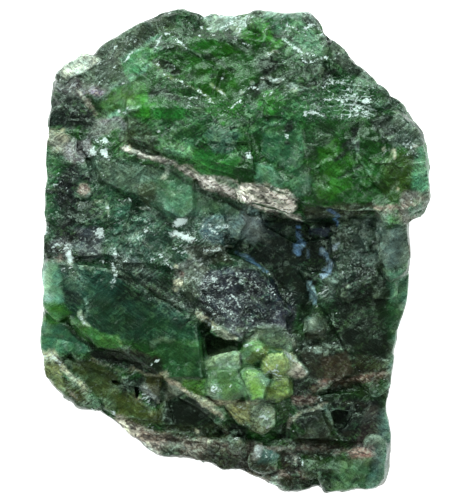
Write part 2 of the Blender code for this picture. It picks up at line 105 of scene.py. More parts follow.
def flakes(points, size, seed):
    """Cracks the space into cells. Gives the way from the cell's middle, how far the nearest border lies,
    and four even numbers that belong to the cell."""
    place = points / size
    whole = np.floor(place).astype(np.int64)
    nearest = np.full(len(points), 9.0)
    second = np.full(len(points), 9.0)
    away = np.zeros((len(points), 3))
    home = np.zeros((len(points), 3), np.int64)
    for dx in (-1, 0, 1):
        for dy in (-1, 0, 1):
            for dz in (-1, 0, 1):
                cell = whole + np.array((dx, dy, dz))
                shift = np.stack([chance_of(*cell.T, seed + k) for k in range(3)], 1)
                way = place - (cell + shift)
                far = np.sqrt((way * way).sum(1))
                closer = far < nearest
                second = np.where(closer, nearest, np.minimum(second, far))
                away[closer] = way[closer]
                home[closer] = cell[closer]
                nearest = np.where(closer, far, nearest)
    own = np.stack([chance_of(*home.T, seed + 7 + k) for k in range(4)], 1)
    return away * size, (second - nearest) * size, own


def smooth_step(low, high, value):
    """0 at low and 1 at high, with a smooth slope between."""
    part = np.clip((value - low) / (high - low), 0.0, 1.0)
    return part * part * (3.0 - 2.0 * part)


def turned(points, degrees, stretch):
    """The points with the space stretched along a line that is turned in the front's plane."""
    angle = math.radians(degrees)
    along = points[:, 0] * math.cos(angle) + points[:, 1] * math.sin(angle)
    across = -points[:, 0] * math.sin(angle) + points[:, 1] * math.cos(angle)
    return np.stack([along / stretch, across, points[:, 2]], 1)


class Sheet:
    """The front's vertices as seen on the marking sheet, for laying soft-edged marks on them."""

    def __init__(self, places):
        self.x = SHEET_ACROSS + SHEET_UNITS * places[:, 0]
        self.y = SHEET_DOWN - SHEET_UNITS * places[:, 1]
        self.ragged = np.stack([clouds(places, size=1.1, seed=301), clouds(places, size=1.1, seed=302)], 1)

    def around(self, line, margin, ragged):
        """Which vertices lie about a line, and their places on the sheet with a ragged shift."""
        x = self.x + ragged * self.ragged[:, 0]
        y = self.y + ragged * self.ragged[:, 1]
        low, high = np.min(line, 0) - margin, np.max(line, 0) + margin
        near = (x > low[0]) & (x < high[0]) & (y > low[1]) & (y < high[1])
        return near, x[near], y[near]

    def patch(self, outline, soft, ragged):
        """1 inside an outline and 0 outside, over a soft and ragged edge."""
        mark = np.zeros(len(self.x))
        near, x, y = self.around(outline, soft + 1, ragged)
        mark[near] = smooth_step(-soft / 2, soft / 2, depth_inside(x, y, outline))
        return mark

    def stroke(self, line, width, soft, ragged):
        """1 along a line of a width, and 0 away from it."""
        mark = np.zeros(len(self.x))
        near, x, y = self.around(line, width + soft + 1, ragged)
        far = np.full(len(x), 1e9)
        for start, end in zip(line, line[1:]):
            far = np.minimum(far, line_distance(x, y, start, end))
        mark[near] = smooth_step(width / 2 + soft / 2, width / 2 - soft / 2, far)
        return mark

    def strongest(self, marks, soft, ragged):
        """The strongest of many patches, each a strength and an outline."""
        total = np.zeros(len(self.x))
        for strength, outline in marks:
            total = np.maximum(total, strength * self.patch(outline, soft, ragged))
        return total


def line_distance(x, y, start, end):
    """How far each point lies from a straight line between two ends."""
    wide, high = end[0] - start[0], end[1] - start[1]
    x, y = x - start[0], y - start[1]
    share = np.clip((x * wide + y * high) / max(wide * wide + high * high, 1e-9), 0.0, 1.0)
    return np.hypot(x - share * wide, y - share * high)


def depth_inside(x, y, outline):
    """How far inside an outline each point lies, or how far outside as less than nothing."""
    inside = np.zeros(len(x), bool)
    far = np.full(len(x), 1e9)
    for start, end in zip(outline, outline[1:] + outline[:1]):
        crosses = (start[1] > y) != (end[1] > y)
        slope = (end[0] - start[0]) / (end[1] - start[1] if end[1] != start[1] else 1e-9)
        inside ^= crosses & (x < slope * (y - start[1]) + start[0])
        far = np.minimum(far, line_distance(x, y, start, end))
    return np.where(inside, far, -far)


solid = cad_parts["peridot_crystal"]
stone = bpy.data.objects.new("peridot", solid.data.copy())
bpy.context.scene.collection.objects.link(stone)
stone.data.materials.clear()


def apply_modifier(owner, kind, **settings):
    """Adds a modifier, and makes its result the object's own mesh."""
    modifier = owner.modifiers.new(kind.title(), kind)
    for key, value in settings.items():
        setattr(modifier, key, value)
    settled = owner.evaluated_get(bpy.context.evaluated_depsgraph_get())
    mesh = bpy.data.meshes.new_from_object(settled)
    owner.modifiers.clear()
    owner.data = mesh
    return mesh


def vertex_values(mesh, name):
    values = np.empty(len(mesh.vertices) * 3)
    mesh.vertices.foreach_get(name, values)
    return values.reshape(-1, 3)


def calmed(mesh, values, rounds):
    """Values of the vertices, evened out with their neighbours."""
    ends = np.empty(len(mesh.edges) * 2, np.int64)
    mesh.edges.foreach_get("vertices", ends)
    first, second = ends.reshape(-1, 2).T
    count = np.bincount(ends, minlength=len(values)) + 1.0
    for _ in range(rounds):
        total = values.copy()
        for axis in range(values.shape[1]):
            total[:, axis] += np.bincount(first, values[second, axis], len(values))
            total[:, axis] += np.bincount(second, values[first, axis], len(values))
        values = total / count[:, None]
    return values


body = apply_modifier(stone, "REMESH", mode="VOXEL", voxel_size=VOXEL, adaptivity=0.0)
places = vertex_values(body, "co") / MM
normals = vertex_values(body, "normal")
sheet = Sheet(places)
front = smooth_step(0.05, 0.4, normals[:, 2]) * smooth_step(12.0, 15.0, places[:, 2])

# Where each kind of broken surface lies: outlines on the sheet
HEAD = [
    (54, 80), (98, 45), (176, 3), (318, 12), (390, 98), (432, 150), (430, 214), (300, 214), (240, 196),
    (190, 172), (120, 144), (44, 136),
]
LEDGE = [
    (52, 132), (120, 150), (190, 176), (240, 198), (300, 214), (424, 210), (424, 224), (300, 226),
    (236, 208), (190, 184), (120, 158), (48, 160),
]
GLITTER = [(172, 262), (240, 262), (290, 290), (292, 334), (236, 340), (196, 318), (172, 292)]
GLASS = [(58, 262), (120, 280), (176, 302), (202, 322), (208, 378), (166, 380), (120, 342), (58, 312)]
NEST = [(205, 345), (262, 335), (308, 372), (292, 436), (228, 436), (206, 402)]
LEFT_ROUGH = [(48, 160), (100, 178), (140, 200), (160, 262), (110, 270), (48, 262)]
RIGHT_ROUGH = [(335, 218), (382, 218), (388, 262), (378, 300), (338, 300)]
FIBRES = [(328, 452), (374, 448), (372, 490), (328, 490)]
RIPPLED = [
    (300, 90), (320, 84), (345, 78), (372, 86), (400, 110), (402, 118), (370, 120), (340, 120), (304, 118),
]
STRATA = [(112, 408), (200, 424), (300, 440), (350, 446), (320, 495), (240, 478), (180, 462), (130, 440)]
RIM = [
    (55, 76), (94, 50), (122, 30), (172, 9), (200, 14), (262, 12), (308, 12), (335, 35), (370, 72),
    (408, 110), (426, 150), (430, 196), (424, 216), (408, 220), (410, 262), (402, 306), (394, 340),
    (386, 394), (388, 440), (388, 480), (372, 490), (330, 490), (284, 492), (238, 468), (206, 456),
    (170, 458), (144, 440), (116, 416), (80, 406), (50, 382), (42, 366), (42, 300), (44, 230), (47, 170),
    (50, 114),
]

# The stone's widest line, seen from above, and how far the wall draws in below it, all in millimetres
WALL_HEIGHTS = (2.0, 6.0, 10.0, 13.5, 26.0)
WALL_DEPTHS = (2.6, 1.3, 0.6, 0.15, 0.1)
GIRDLE = [
    (-18.0, 17.3), (-17.1, 18.5), (-15.2, 19.5), (-14.1, 19.4), (-13.6, 20.1), (-9.5, 22.5),
    (-6.3, 24.1), (-5.4, 24.2), (-3.5, 23.6), (0.5, 23.3), (2.6, 23.8), (5.0, 23.4), (7.3, 23.7),
    (8.4, 22.7), (9.0, 21.6), (9.8, 21.2), (12.0, 18.4), (13.4, 17.5), (14.5, 16.1), (16.3, 14.7),
    (17.6, 13.2), (18.6, 11.5), (19.2, 8.5), (19.4, 5.3), (19.0, 3.8), (18.5, 3.3), (17.3, 2.9),
    (17.5, -0.5), (17.2, -4.8), (16.9, -6.6), (16.4, -7.3), (16.0, -9.9), (15.3, -14.5),
    (15.1, -15.5), (15.7, -18.2), (15.5, -21.5), (15.3, -22.9), (14.6, -23.7), (10.5, -24.2),
    (9.1, -24.2), (8.5, -23.8), (7.7, -23.7), (7.3, -24.3), (4.5, -24.2), (3.4, -23.3),
    (1.8, -22.6), (0.3, -22.0), (-1.2, -22.1), (-2.9, -21.3), (-4.5, -20.9), (-6.5, -20.9),
    (-8.0, -20.6), (-9.2, -19.5), (-10.6, -18.4), (-11.9, -17.1), (-13.6, -16.0), (-15.6, -15.9),
    (-17.4, -14.6), (-18.6, -13.3), (-19.3, -12.0), (-19.2, -10.5), (-19.4, -9.5), (-19.2, -4.0),
    (-19.0, 2.0), (-18.8, 8.0), (-18.5, 13.5),
]

# The blocks of the nest stand side by side: height of the top, its lean across and up, and its outline
CHIPS = [
    (0.25, 0.10, 0.16, [(206, 355), (220, 350), (233, 346), (240, 350), (239, 358), (241, 366), (238, 370),
        (222, 364), (208, 366)]),
    (0.75, -0.06, -0.12, [(208, 366), (222, 364), (238, 370), (242, 382), (248, 396), (228, 399),
        (214, 397), (207, 388), (209, 378)]),
    (0.60, -0.10, 0.20, [(242, 345), (252, 340), (262, 341), (269, 345), (268, 352), (262, 357), (258, 364),
        (250, 365), (243, 366), (242, 356)]),
    (1.10, 0.12, 0.10, [(262, 364), (266, 357), (272, 352), (284, 350), (286, 358), (290, 366), (288, 373),
        (276, 373), (266, 372), (260, 370)]),
    (0.80, 0.22, -0.05, [(284, 350), (292, 352), (298, 360), (307, 371), (304, 375), (294, 378), (288, 374),
        (290, 366), (286, 358)]),
    (1.20, 0.05, -0.10, [(242, 368), (250, 366), (258, 368), (266, 372), (269, 378), (266, 385), (264, 392),
        (262, 397), (252, 400), (247, 390), (244, 380)]),
    (0.70, 0.12, -0.22, [(266, 384), (274, 380), (284, 374), (290, 380), (291, 392), (284, 396), (276, 400),
        (265, 398)]),
    (0.70, 0.0, -0.05, [(260, 370), (276, 373), (290, 372), (291, 384), (274, 386), (262, 384)]),
    (0.15, -0.10, -0.20, [(226, 402), (240, 400), (250, 404), (251, 419), (240, 420), (232, 414),
        (224, 406)]),
    (0.30, 0.10, -0.12, [(251, 404), (262, 400), (270, 403), (275, 410), (273, 420), (268, 428), (262, 429),
        (254, 424), (251, 419)]),
]

# Areas of the broken front, laid one upon the other: colour, strength, outline on the sheet
AREAS = [
    ((40, 80, 36), 1.0, HEAD),
    ((44, 70, 50), 1.0, [(40, 150), (130, 160), (240, 205), (300, 220), (240, 262), (200, 320), (110, 285),
        (38, 265)]),
    ((64, 72, 62), 0.9, [(50, 77), (90, 50), (120, 34), (150, 16), (176, 2), (200, 10), (206, 30),
        (180, 38), (160, 38), (140, 50), (122, 62), (112, 88), (100, 98), (88, 88), (50, 82)]),
    ((222, 228, 214), 1.0, [(50, 78), (58, 66), (70, 55), (82, 50), (92, 55), (100, 61), (90, 71),
        (76, 78)]),
    ((88, 80, 86), 0.9, [(50, 79), (80, 80), (91, 96), (78, 102), (60, 94), (48, 92)]),
    ((38, 42, 42), 0.95, [(46, 92), (62, 96), (84, 100), (97, 118), (92, 131), (70, 131), (44, 124)]),
    ((112, 116, 108), 0.8, [(82, 84), (98, 86), (108, 92), (98, 99), (86, 93)]),
    ((66, 78, 62), 0.8, [(98, 62), (120, 60), (128, 70), (124, 84), (104, 88), (94, 80)]),
    ((58, 115, 45), 0.95, [(116, 92), (136, 85), (150, 84), (154, 98), (132, 110), (110, 113), (103, 106)]),
    ((72, 142, 50), 0.9, [(124, 98), (150, 95), (166, 98), (172, 106), (150, 110), (128, 108)]),
    ((95, 155, 100), 0.9, [(124, 62), (146, 51), (154, 52), (150, 62), (138, 72), (131, 86), (127, 74)]),
    ((60, 130, 45), 0.9, [(138, 108), (152, 104), (150, 119), (136, 119)]),
    ((60, 128, 60), 0.9, [(153, 108), (176, 104), (187, 114), (182, 121), (155, 120)]),
    ((52, 100, 34), 0.9, [(144, 56), (166, 52), (196, 60), (210, 80), (206, 92), (182, 84), (160, 68),
        (148, 66)]),
    ((60, 114, 28), 0.95, [(182, 42), (204, 40), (232, 46), (262, 52), (258, 84), (236, 104), (206, 100),
        (196, 84), (190, 64)]),
    ((66, 132, 40), 0.8, [(188, 44), (204, 42), (212, 54), (202, 60), (190, 54)]),
    ((66, 134, 42), 0.8, [(240, 55), (256, 56), (258, 78), (246, 84), (234, 74)]),
    ((64, 128, 46), 0.9, [(240, 34), (252, 24), (264, 22), (272, 34), (262, 50), (250, 50)]),
    ((58, 120, 40), 0.8, [(262, 38), (280, 40), (284, 52), (270, 54)]),
    ((34, 70, 34), 0.9, [(177, 14), (197, 17), (201, 30), (192, 40), (176, 34)]),
    ((34, 56, 34), 0.8, [(222, 30), (238, 34), (252, 50), (248, 58), (230, 46)]),
    ((95, 112, 104), 0.9, [(252, 10), (306, 10), (320, 18), (318, 26), (300, 22), (262, 20)]),
    ((50, 58, 54), 0.9, [(250, 12), (264, 12), (262, 20), (252, 20)]),
    ((58, 68, 64), 0.9, [(300, 18), (316, 12), (326, 22), (330, 34), (314, 31), (300, 24)]),
    ((74, 112, 84), 0.9, [(270, 24), (300, 24), (318, 34), (322, 58), (300, 64), (286, 44), (272, 36)]),
    ((92, 138, 104), 0.7, [(296, 40), (320, 38), (322, 56), (304, 56)]),
    ((66, 102, 68), 0.9, [(278, 48), (298, 54), (304, 70), (300, 96), (284, 96), (276, 76)]),
    ((60, 68, 62), 0.95, [(322, 36), (336, 36), (354, 58), (370, 70), (392, 94), (376, 92), (345, 74),
        (330, 64)]),
    ((48, 62, 44), 0.9, [(310, 70), (325, 68), (334, 74), (328, 84), (310, 86)]),
    ((26, 28, 24), 0.95, [(261, 76), (267, 66), (277, 60), (279, 70), (270, 77), (264, 80)]),
    ((48, 82, 52), 0.9, [(236, 98), (260, 92), (300, 98), (304, 124), (296, 136), (250, 140), (200, 132),
        (196, 108)]),
    ((60, 120, 50), 0.8, [(206, 100), (230, 102), (246, 100), (236, 118), (222, 126), (208, 116)]),
    ((60, 122, 46), 0.8, [(258, 94), (278, 92), (284, 106), (270, 120), (256, 112)]),
    ((62, 94, 70), 0.9, [(300, 88), (320, 82), (345, 76), (375, 88), (404, 112), (408, 120), (370, 122),
        (340, 124), (304, 122)]),
    ((36, 84, 24), 1.0, [(300, 124), (340, 124), (366, 118), (404, 122), (414, 150), (410, 196), (372, 206),
        (302, 208)]),
    ((30, 60, 28), 0.9, [(302, 126), (318, 122), (334, 130), (334, 150), (318, 162), (302, 160)]),
    ((58, 114, 34), 0.8, [(318, 150), (332, 140), (352, 158), (350, 190), (330, 200), (322, 180)]),
    ((62, 108, 40), 0.7, [(312, 176), (334, 164), (336, 196), (316, 204)]),
    ((46, 96, 34), 0.8, [(356, 140), (378, 134), (388, 150), (380, 176), (364, 190), (352, 176)]),
    ((32, 56, 28), 0.9, [(366, 118), (386, 118), (406, 120), (404, 130), (386, 138), (372, 134)]),
    ((66, 72, 70), 0.9, [(396, 104), (412, 112), (426, 130), (426, 150), (414, 148), (408, 124)]),
    ((72, 82, 76), 0.9, [(376, 94), (396, 98), (412, 116), (400, 120), (382, 110)]),
    ((118, 138, 122), 0.8, [(384, 138), (402, 134), (412, 142), (406, 150), (388, 150)]),
    ((60, 84, 36), 0.9, [(378, 160), (400, 154), (412, 160), (408, 196), (382, 202), (374, 184)]),
    ((40, 38, 24), 0.8, [(404, 148), (412, 150), (412, 166), (406, 164)]),
    ((84, 140, 105), 0.95, [(411, 150), (426, 146), (432, 176), (432, 194), (418, 197), (407, 190),
        (411, 170)]),
    ((120, 116, 106), 0.95, [(402, 192), (418, 194), (434, 188), (430, 212), (420, 222), (402, 222),
        (396, 206)]),
    ((108, 148, 120), 0.8, [(404, 204), (418, 200), (421, 212), (408, 217)]),
    ((56, 58, 46), 0.9, [(122, 120), (142, 122), (160, 128), (157, 140), (158, 156), (142, 158), (130, 149),
        (122, 138)]),
    ((38, 70, 44), 0.9, [(150, 122), (186, 122), (204, 134), (200, 152), (170, 140), (152, 134)]),
    ((84, 120, 84), 0.8, [(158, 142), (176, 138), (196, 152), (192, 160), (166, 156)]),
    ((34, 84, 34), 0.9, [(198, 152), (216, 148), (240, 160), (240, 178), (224, 176), (204, 170)]),
    ((70, 96, 88), 0.8, [(202, 136), (216, 128), (240, 138), (234, 152), (212, 152)]),
    ((110, 112, 110), 0.8, [(96, 120), (120, 117), (128, 127), (112, 135), (98, 143), (86, 140)]),
    ((150, 146, 132), 0.85, [(46, 131), (66, 133), (75, 142), (70, 157), (56, 151), (46, 146)]),
    ((128, 122, 126), 0.85, [(74, 140), (93, 141), (95, 156), (85, 165), (70, 161), (65, 150)]),
    ((24, 52, 22), 0.9, [(242, 162), (255, 166), (254, 183), (242, 184), (234, 172)]),
    ((50, 84, 66), 0.8, [(262, 136), (294, 136), (298, 168), (280, 168), (262, 154)]),
    ((70, 104, 78), 0.6, [(292, 134), (301, 130), (301, 182), (294, 176)]),
    ((122, 160, 135), 0.8, [(256, 165), (270, 167), (285, 182), (281, 189), (266, 186), (256, 182)]),
    ((104, 146, 112), 0.8, [(286, 184), (298, 175), (311, 177), (306, 196), (296, 198)]),
    ((62, 60, 50), 0.9, [(300, 206), (345, 205), (374, 204), (374, 211), (345, 220), (330, 223),
        (306, 223)]),
    # the ground left of the middle
    ((44, 98, 46), 0.8, [(44, 160), (60, 158), (64, 180), (54, 190), (44, 190)]),
    ((56, 104, 58), 0.7, [(42, 192), (56, 196), (54, 222), (42, 224)]),
    ((36, 30, 38), 0.95, [(62, 176), (78, 160), (93, 172), (98, 181), (81, 182), (80, 202), (79, 230),
        (84, 242), (74, 249), (56, 241), (70, 216), (60, 206), (55, 195)]),
    ((78, 98, 82), 0.95, [(80, 166), (100, 159), (130, 165), (160, 171), (165, 186), (160, 201), (150, 207),
        (140, 198), (128, 187), (110, 183), (98, 181)]),
    ((60, 88, 64), 0.8, [(144, 182), (168, 176), (172, 214), (188, 227), (164, 227), (148, 208)]),
    ((52, 56, 40), 0.8, [(138, 184), (156, 184), (158, 200), (150, 206), (142, 200)]),
    ((76, 112, 82), 0.95, [(165, 172), (180, 176), (193, 177), (195, 200), (197, 224), (186, 222),
        (176, 214), (164, 212), (161, 196)]),
    ((62, 98, 70), 0.7, [(170, 176), (192, 177), (193, 192), (174, 190)]),
    ((92, 124, 96), 0.6, [(178, 196), (194, 198), (196, 216), (184, 214)]),
    ((52, 78, 56), 0.95, [(194, 184), (206, 190), (226, 197), (240, 205), (238, 216), (200, 216)]),
    ((34, 62, 42), 0.85, [(104, 190), (126, 190), (146, 204), (142, 226), (112, 230), (102, 212)]),
    ((44, 48, 42), 0.8, [(58, 202), (96, 202), (104, 216), (84, 226), (64, 222)]),
    ((100, 98, 104), 0.8, [(80, 228), (98, 224), (108, 240), (104, 258), (86, 262), (76, 246)]),
    ((122, 112, 112), 0.7, [(50, 240), (66, 238), (78, 246), (72, 258), (54, 254)]),
    ((56, 82, 62), 0.8, [(106, 230), (150, 226), (168, 244), (160, 264), (120, 264), (104, 250)]),
    ((84, 108, 110), 0.8, [(202, 218), (222, 212), (238, 224), (236, 240), (212, 246), (200, 232)]),
    ((40, 44, 44), 0.8, [(222, 236), (246, 232), (248, 250), (228, 252)]),
    ((66, 66, 56), 0.7, [(186, 244), (226, 246), (232, 262), (196, 264)]),
    ((120, 132, 108), 0.85, [(174, 264), (196, 258), (208, 268), (202, 292), (186, 302), (174, 290),
        (178, 276)]),
    ((70, 80, 72), 0.9, [(112, 258), (136, 256), (172, 286), (196, 302), (204, 318), (184, 312), (150, 286),
        (120, 274)]),
    ((74, 74, 82), 0.95, [(204, 272), (240, 264), (276, 280), (298, 306), (292, 332), (240, 338),
        (214, 322), (198, 304)]),
    ((46, 42, 44), 0.8, [(198, 300), (212, 302), (222, 316), (212, 322), (200, 312)]),
    # the recess, near-black partly from its dark glass and partly as painted shadow under the ledge, and
    # the ground to its right
    ((22, 26, 26), 1.0, [(252, 215), (296, 220), (345, 222), (354, 236), (334, 262), (318, 280), (306, 304),
        (282, 304), (270, 270), (244, 262), (242, 240), (248, 224)]),
    ((40, 46, 36), 0.8, [(284, 256), (296, 258), (305, 272), (306, 302), (284, 304), (281, 272)]),
    ((68, 82, 70), 0.95, [(340, 220), (384, 214), (392, 258), (374, 290), (350, 304), (322, 300),
        (322, 276), (336, 256)]),
    ((84, 102, 88), 0.7, [(320, 268), (352, 272), (356, 292), (340, 304), (320, 302)]),
    ((100, 122, 106), 0.95, [(377, 244), (388, 230), (400, 224), (410, 228), (410, 262), (400, 268),
        (388, 271), (379, 262)]),
    ((80, 130, 100), 0.95, [(387, 272), (402, 267), (412, 272), (412, 298), (398, 303), (387, 302)]),
    ((26, 34, 22), 0.95, [(358, 268), (380, 265), (388, 276), (386, 302), (372, 320), (345, 318),
        (340, 305), (356, 290)]),
    ((26, 44, 22), 0.95, [(344, 318), (386, 304), (390, 345), (386, 362), (350, 352), (338, 336)]),
    ((44, 40, 48), 0.8, [(336, 328), (352, 324), (356, 342), (342, 346)]),
    ((42, 80, 48), 0.9, [(385, 304), (398, 299), (408, 302), (400, 332), (392, 348), (386, 332)]),
    ((34, 46, 38), 0.9, [(286, 330), (306, 336), (342, 338), (352, 358), (344, 384), (310, 384),
        (296, 362)]),
    ((38, 52, 40), 0.9, [(300, 292), (340, 300), (346, 322), (330, 340), (300, 322)]),
    ((84, 100, 84), 0.9, [(303, 319), (314, 315), (326, 319), (324, 337), (306, 338)]),
    ((52, 60, 38), 0.8, [(320, 362), (346, 358), (352, 380), (322, 386)]),
    ((44, 48, 36), 0.8, [(350, 356), (386, 352), (388, 374), (352, 378)]),
    # the dark glassy face at the lower left
    ((36, 64, 48), 1.0, [(56, 262), (120, 276), (150, 286), (184, 312), (204, 322), (206, 345), (150, 342),
        (120, 338), (76, 322), (58, 300)]),
    ((50, 86, 72), 0.9, [(58, 264), (100, 268), (140, 284), (160, 300), (130, 304), (96, 300), (70, 296)]),
    ((84, 118, 100), 0.8, [(62, 262), (84, 264), (90, 280), (84, 294), (70, 290)]),
    ((40, 66, 54), 0.8, [(112, 290), (140, 292), (176, 312), (196, 324), (180, 334), (140, 322),
        (116, 306)]),
    ((38, 62, 44), 0.8, [(92, 300), (116, 302), (136, 318), (124, 334), (104, 326), (90, 314)]),
    ((40, 74, 50), 0.7, [(146, 316), (168, 318), (196, 330), (200, 342), (160, 340), (142, 332)]),
    ((56, 84, 74), 0.7, [(150, 296), (168, 304), (186, 318), (176, 322), (156, 310)]),
    ((38, 40, 46), 0.7, [(66, 288), (82, 292), (84, 306), (70, 304)]),
    ((124, 180, 150), 0.95, [(36, 262), (56, 261), (65, 280), (65, 300), (50, 303), (36, 300)]),
    ((62, 118, 48), 0.9, [(36, 301), (62, 301), (74, 312), (68, 322), (36, 322)]),
    ((50, 92, 68), 0.9, [(36, 324), (62, 322), (80, 335), (96, 350), (78, 353), (60, 353), (36, 347)]),
    ((66, 112, 56), 0.9, [(69, 322), (78, 316), (92, 326), (104, 330), (112, 336), (121, 333), (122, 348),
        (102, 349), (86, 338)]),
    ((44, 84, 42), 0.95, [(122, 340), (150, 341), (204, 338), (208, 372), (200, 379), (168, 381),
        (164, 360), (140, 348)]),
    ((50, 88, 52), 0.7, [(160, 344), (204, 342), (207, 376), (170, 378)]),
    ((58, 54, 46), 0.9, [(121, 344), (145, 350), (161, 357), (152, 362), (138, 362), (122, 352)]),
    ((28, 28, 20), 0.95, [(95, 348), (122, 352), (150, 362), (160, 372), (140, 371), (110, 365),
        (92, 359)]),
    ((52, 72, 42), 0.9, [(62, 354), (92, 356), (120, 374), (122, 402), (104, 400), (88, 384), (72, 368)]),
    ((40, 50, 38), 0.7, [(100, 366), (122, 372), (120, 384), (104, 378)]),
    ((140, 146, 96), 0.95, [(36, 350), (54, 351), (64, 372), (71, 393), (62, 396), (48, 386), (36, 372)]),
    ((190, 188, 162), 0.7, [(38, 350), (54, 350), (60, 362), (50, 360), (42, 360)]),
    ((70, 70, 32), 0.9, [(64, 377), (76, 380), (90, 388), (93, 399), (86, 405), (78, 399), (68, 389)]),
    ((90, 105, 80), 0.9, [(60, 392), (74, 396), (90, 402), (104, 406), (96, 414), (66, 404)]),
    ((22, 26, 22), 0.95, [(122, 378), (145, 375), (150, 386), (138, 390), (122, 389)]),
    ((64, 64, 34), 0.9, [(146, 374), (163, 374), (164, 396), (156, 396), (149, 386)]),
    ((58, 70, 34), 0.9, [(118, 392), (136, 396), (152, 410), (163, 406), (163, 422), (140, 420),
        (118, 412)]),
    ((110, 130, 100), 0.7, [(102, 398), (116, 398), (117, 408), (106, 408)]),
    ((130, 150, 135), 0.95, [(165, 380), (173, 383), (183, 391), (180, 394), (166, 399)]),
    ((24, 30, 22), 0.95, [(165, 401), (178, 396), (186, 392), (197, 397), (207, 405), (217, 415),
        (212, 421), (190, 425), (165, 421)]),
    ((90, 140, 62), 0.9, [(180, 384), (184, 378), (206, 378), (211, 385), (208, 395), (196, 391)]),
    ((185, 180, 150), 0.9, [(194, 390), (212, 396), (217, 402), (206, 405), (197, 398)]),
    ((104, 92, 80), 0.95, [(112, 412), (140, 419), (160, 430), (200, 436), (240, 440), (262, 444),
        (240, 480), (212, 470), (188, 460), (158, 462), (138, 446), (118, 432)]),
    ((60, 62, 46), 0.85, [(165, 421), (212, 421), (230, 424), (230, 438), (200, 436), (166, 432)]),
    ((185, 180, 160), 0.9, [(118, 418), (134, 423), (141, 432), (132, 436), (120, 430)]),
    ((150, 155, 145), 0.8, [(138, 438), (150, 441), (161, 452), (156, 460), (144, 452)]),
    ((40, 60, 44), 0.8, [(160, 448), (180, 450), (180, 462), (162, 462)]),
    ((92, 110, 108), 0.85, [(224, 206), (246, 206), (262, 214), (258, 228), (246, 242), (234, 238),
        (226, 222)]),
    ((110, 128, 108), 0.9, [(238, 328), (262, 322), (288, 330), (298, 342), (286, 351), (270, 346),
        (262, 340), (246, 340)]),
    ((150, 164, 160), 0.9, [(140, 384), (152, 382), (162, 390), (160, 402), (150, 398)]),
    ((20, 26, 40), 0.9, [(148, 396), (156, 398), (158, 405), (148, 404)]),
    # The two pale fields here are painted highlights: the glare along the top edge and the pale arc below
    # it
    ((150, 176, 164), 0.8, [(206, 18), (226, 16), (246, 20), (250, 28), (240, 36), (226, 32), (210, 36)]),
    ((120, 144, 136), 0.8, [(156, 52), (158, 42), (168, 38), (180, 42), (187, 54), (178, 48), (166, 46)]),
    ((66, 70, 68), 0.9, [(246, 214), (262, 216), (264, 238), (250, 244), (244, 230)]),
    # the nest of chips
    ((20, 26, 20), 0.95, [(204, 334), (230, 337), (242, 337), (242, 345), (222, 350), (206, 353)]),
    ((124, 152, 118), 1.0, [(206, 355), (220, 350), (233, 346), (240, 350), (239, 358), (241, 366),
        (238, 370), (222, 364), (208, 366)]),
    ((108, 146, 98), 1.0, [(208, 366), (222, 364), (238, 370), (242, 382), (248, 396), (228, 399),
        (214, 397), (207, 388), (209, 378)]),
    ((100, 142, 80), 0.8, [(220, 368), (236, 370), (240, 384), (238, 394), (224, 392), (218, 380)]),
    ((136, 166, 138), 0.8, [(207, 386), (216, 388), (222, 396), (214, 399), (207, 394)]),
    ((86, 120, 80), 1.0, [(242, 345), (252, 340), (262, 341), (269, 345), (268, 352), (262, 357),
        (258, 364), (250, 365), (243, 366), (242, 356)]),
    ((74, 86, 42), 0.85, [(250, 350), (260, 346), (269, 345), (268, 353), (261, 360), (252, 364),
        (246, 360)]),
    ((176, 198, 128), 1.0, [(262, 364), (266, 357), (272, 352), (284, 350), (286, 358), (290, 366),
        (288, 373), (276, 373), (266, 372), (260, 370)]),
    ((160, 180, 146), 1.0, [(284, 350), (292, 352), (298, 360), (307, 371), (304, 375), (294, 378),
        (288, 374), (290, 366), (286, 358)]),
    ((138, 186, 112), 1.0, [(242, 368), (250, 366), (258, 368), (266, 372), (269, 378), (266, 385),
        (264, 392), (262, 397), (252, 400), (247, 390), (244, 380)]),
    ((160, 200, 168), 0.8, [(257, 370), (266, 372), (270, 378), (266, 385), (260, 380)]),
    ((134, 190, 90), 0.8, [(248, 380), (260, 384), (262, 394), (252, 398)]),
    ((118, 144, 76), 1.0, [(266, 384), (274, 380), (284, 374), (290, 380), (291, 392), (284, 396),
        (276, 400), (265, 398)]),
    ((140, 160, 92), 0.8, [(268, 392), (280, 390), (284, 395), (275, 399), (266, 398)]),
    ((150, 172, 130), 0.7, [(270, 374), (284, 374), (288, 380), (276, 380)]),
    ((36, 34, 24), 0.9, [(261, 398), (276, 397), (276, 402), (262, 402)]),
    ((150, 140, 108), 0.9, [(210, 396), (232, 399), (252, 401), (262, 402), (252, 405), (226, 404),
        (212, 402)]),
    ((124, 126, 84), 1.0, [(226, 402), (240, 400), (250, 404), (251, 419), (240, 420), (232, 414),
        (224, 406)]),
    ((144, 162, 134), 1.0, [(251, 404), (262, 400), (270, 403), (275, 410), (273, 420), (268, 428),
        (262, 429), (254, 424), (251, 419)]),
    ((112, 118, 86), 0.9, [(246, 420), (258, 422), (268, 428), (262, 433), (252, 430)]),
    ((44, 62, 34), 0.95, [(275, 401), (290, 400), (290, 418), (278, 419)]),
    ((18, 24, 14), 1.0, [(230, 422), (246, 424), (250, 434), (240, 440), (228, 436)]),
    ((28, 34, 22), 0.95, [(278, 422), (289, 420), (289, 438), (278, 437)]),
    ((14, 18, 14), 0.9, [(239, 352), (242, 352), (242, 363), (240, 362)]),
    # below and to the right of the chips
    ((36, 32, 28), 0.9, [(292, 380), (310, 374), (324, 386), (310, 391), (294, 395)]),
    ((120, 108, 92), 0.9, [(290, 396), (306, 392), (320, 397), (312, 403), (292, 405)]),
    ((26, 26, 28), 0.95, [(330, 400), (378, 396), (378, 420), (372, 442), (350, 450), (340, 432),
        (330, 416)]),
    ((22, 24, 24), 0.9, [(290, 418), (300, 412), (316, 410), (314, 424), (302, 426)]),
    ((62, 84, 64), 0.9, [(312, 413), (325, 407), (336, 417), (326, 437), (304, 438), (306, 427)]),
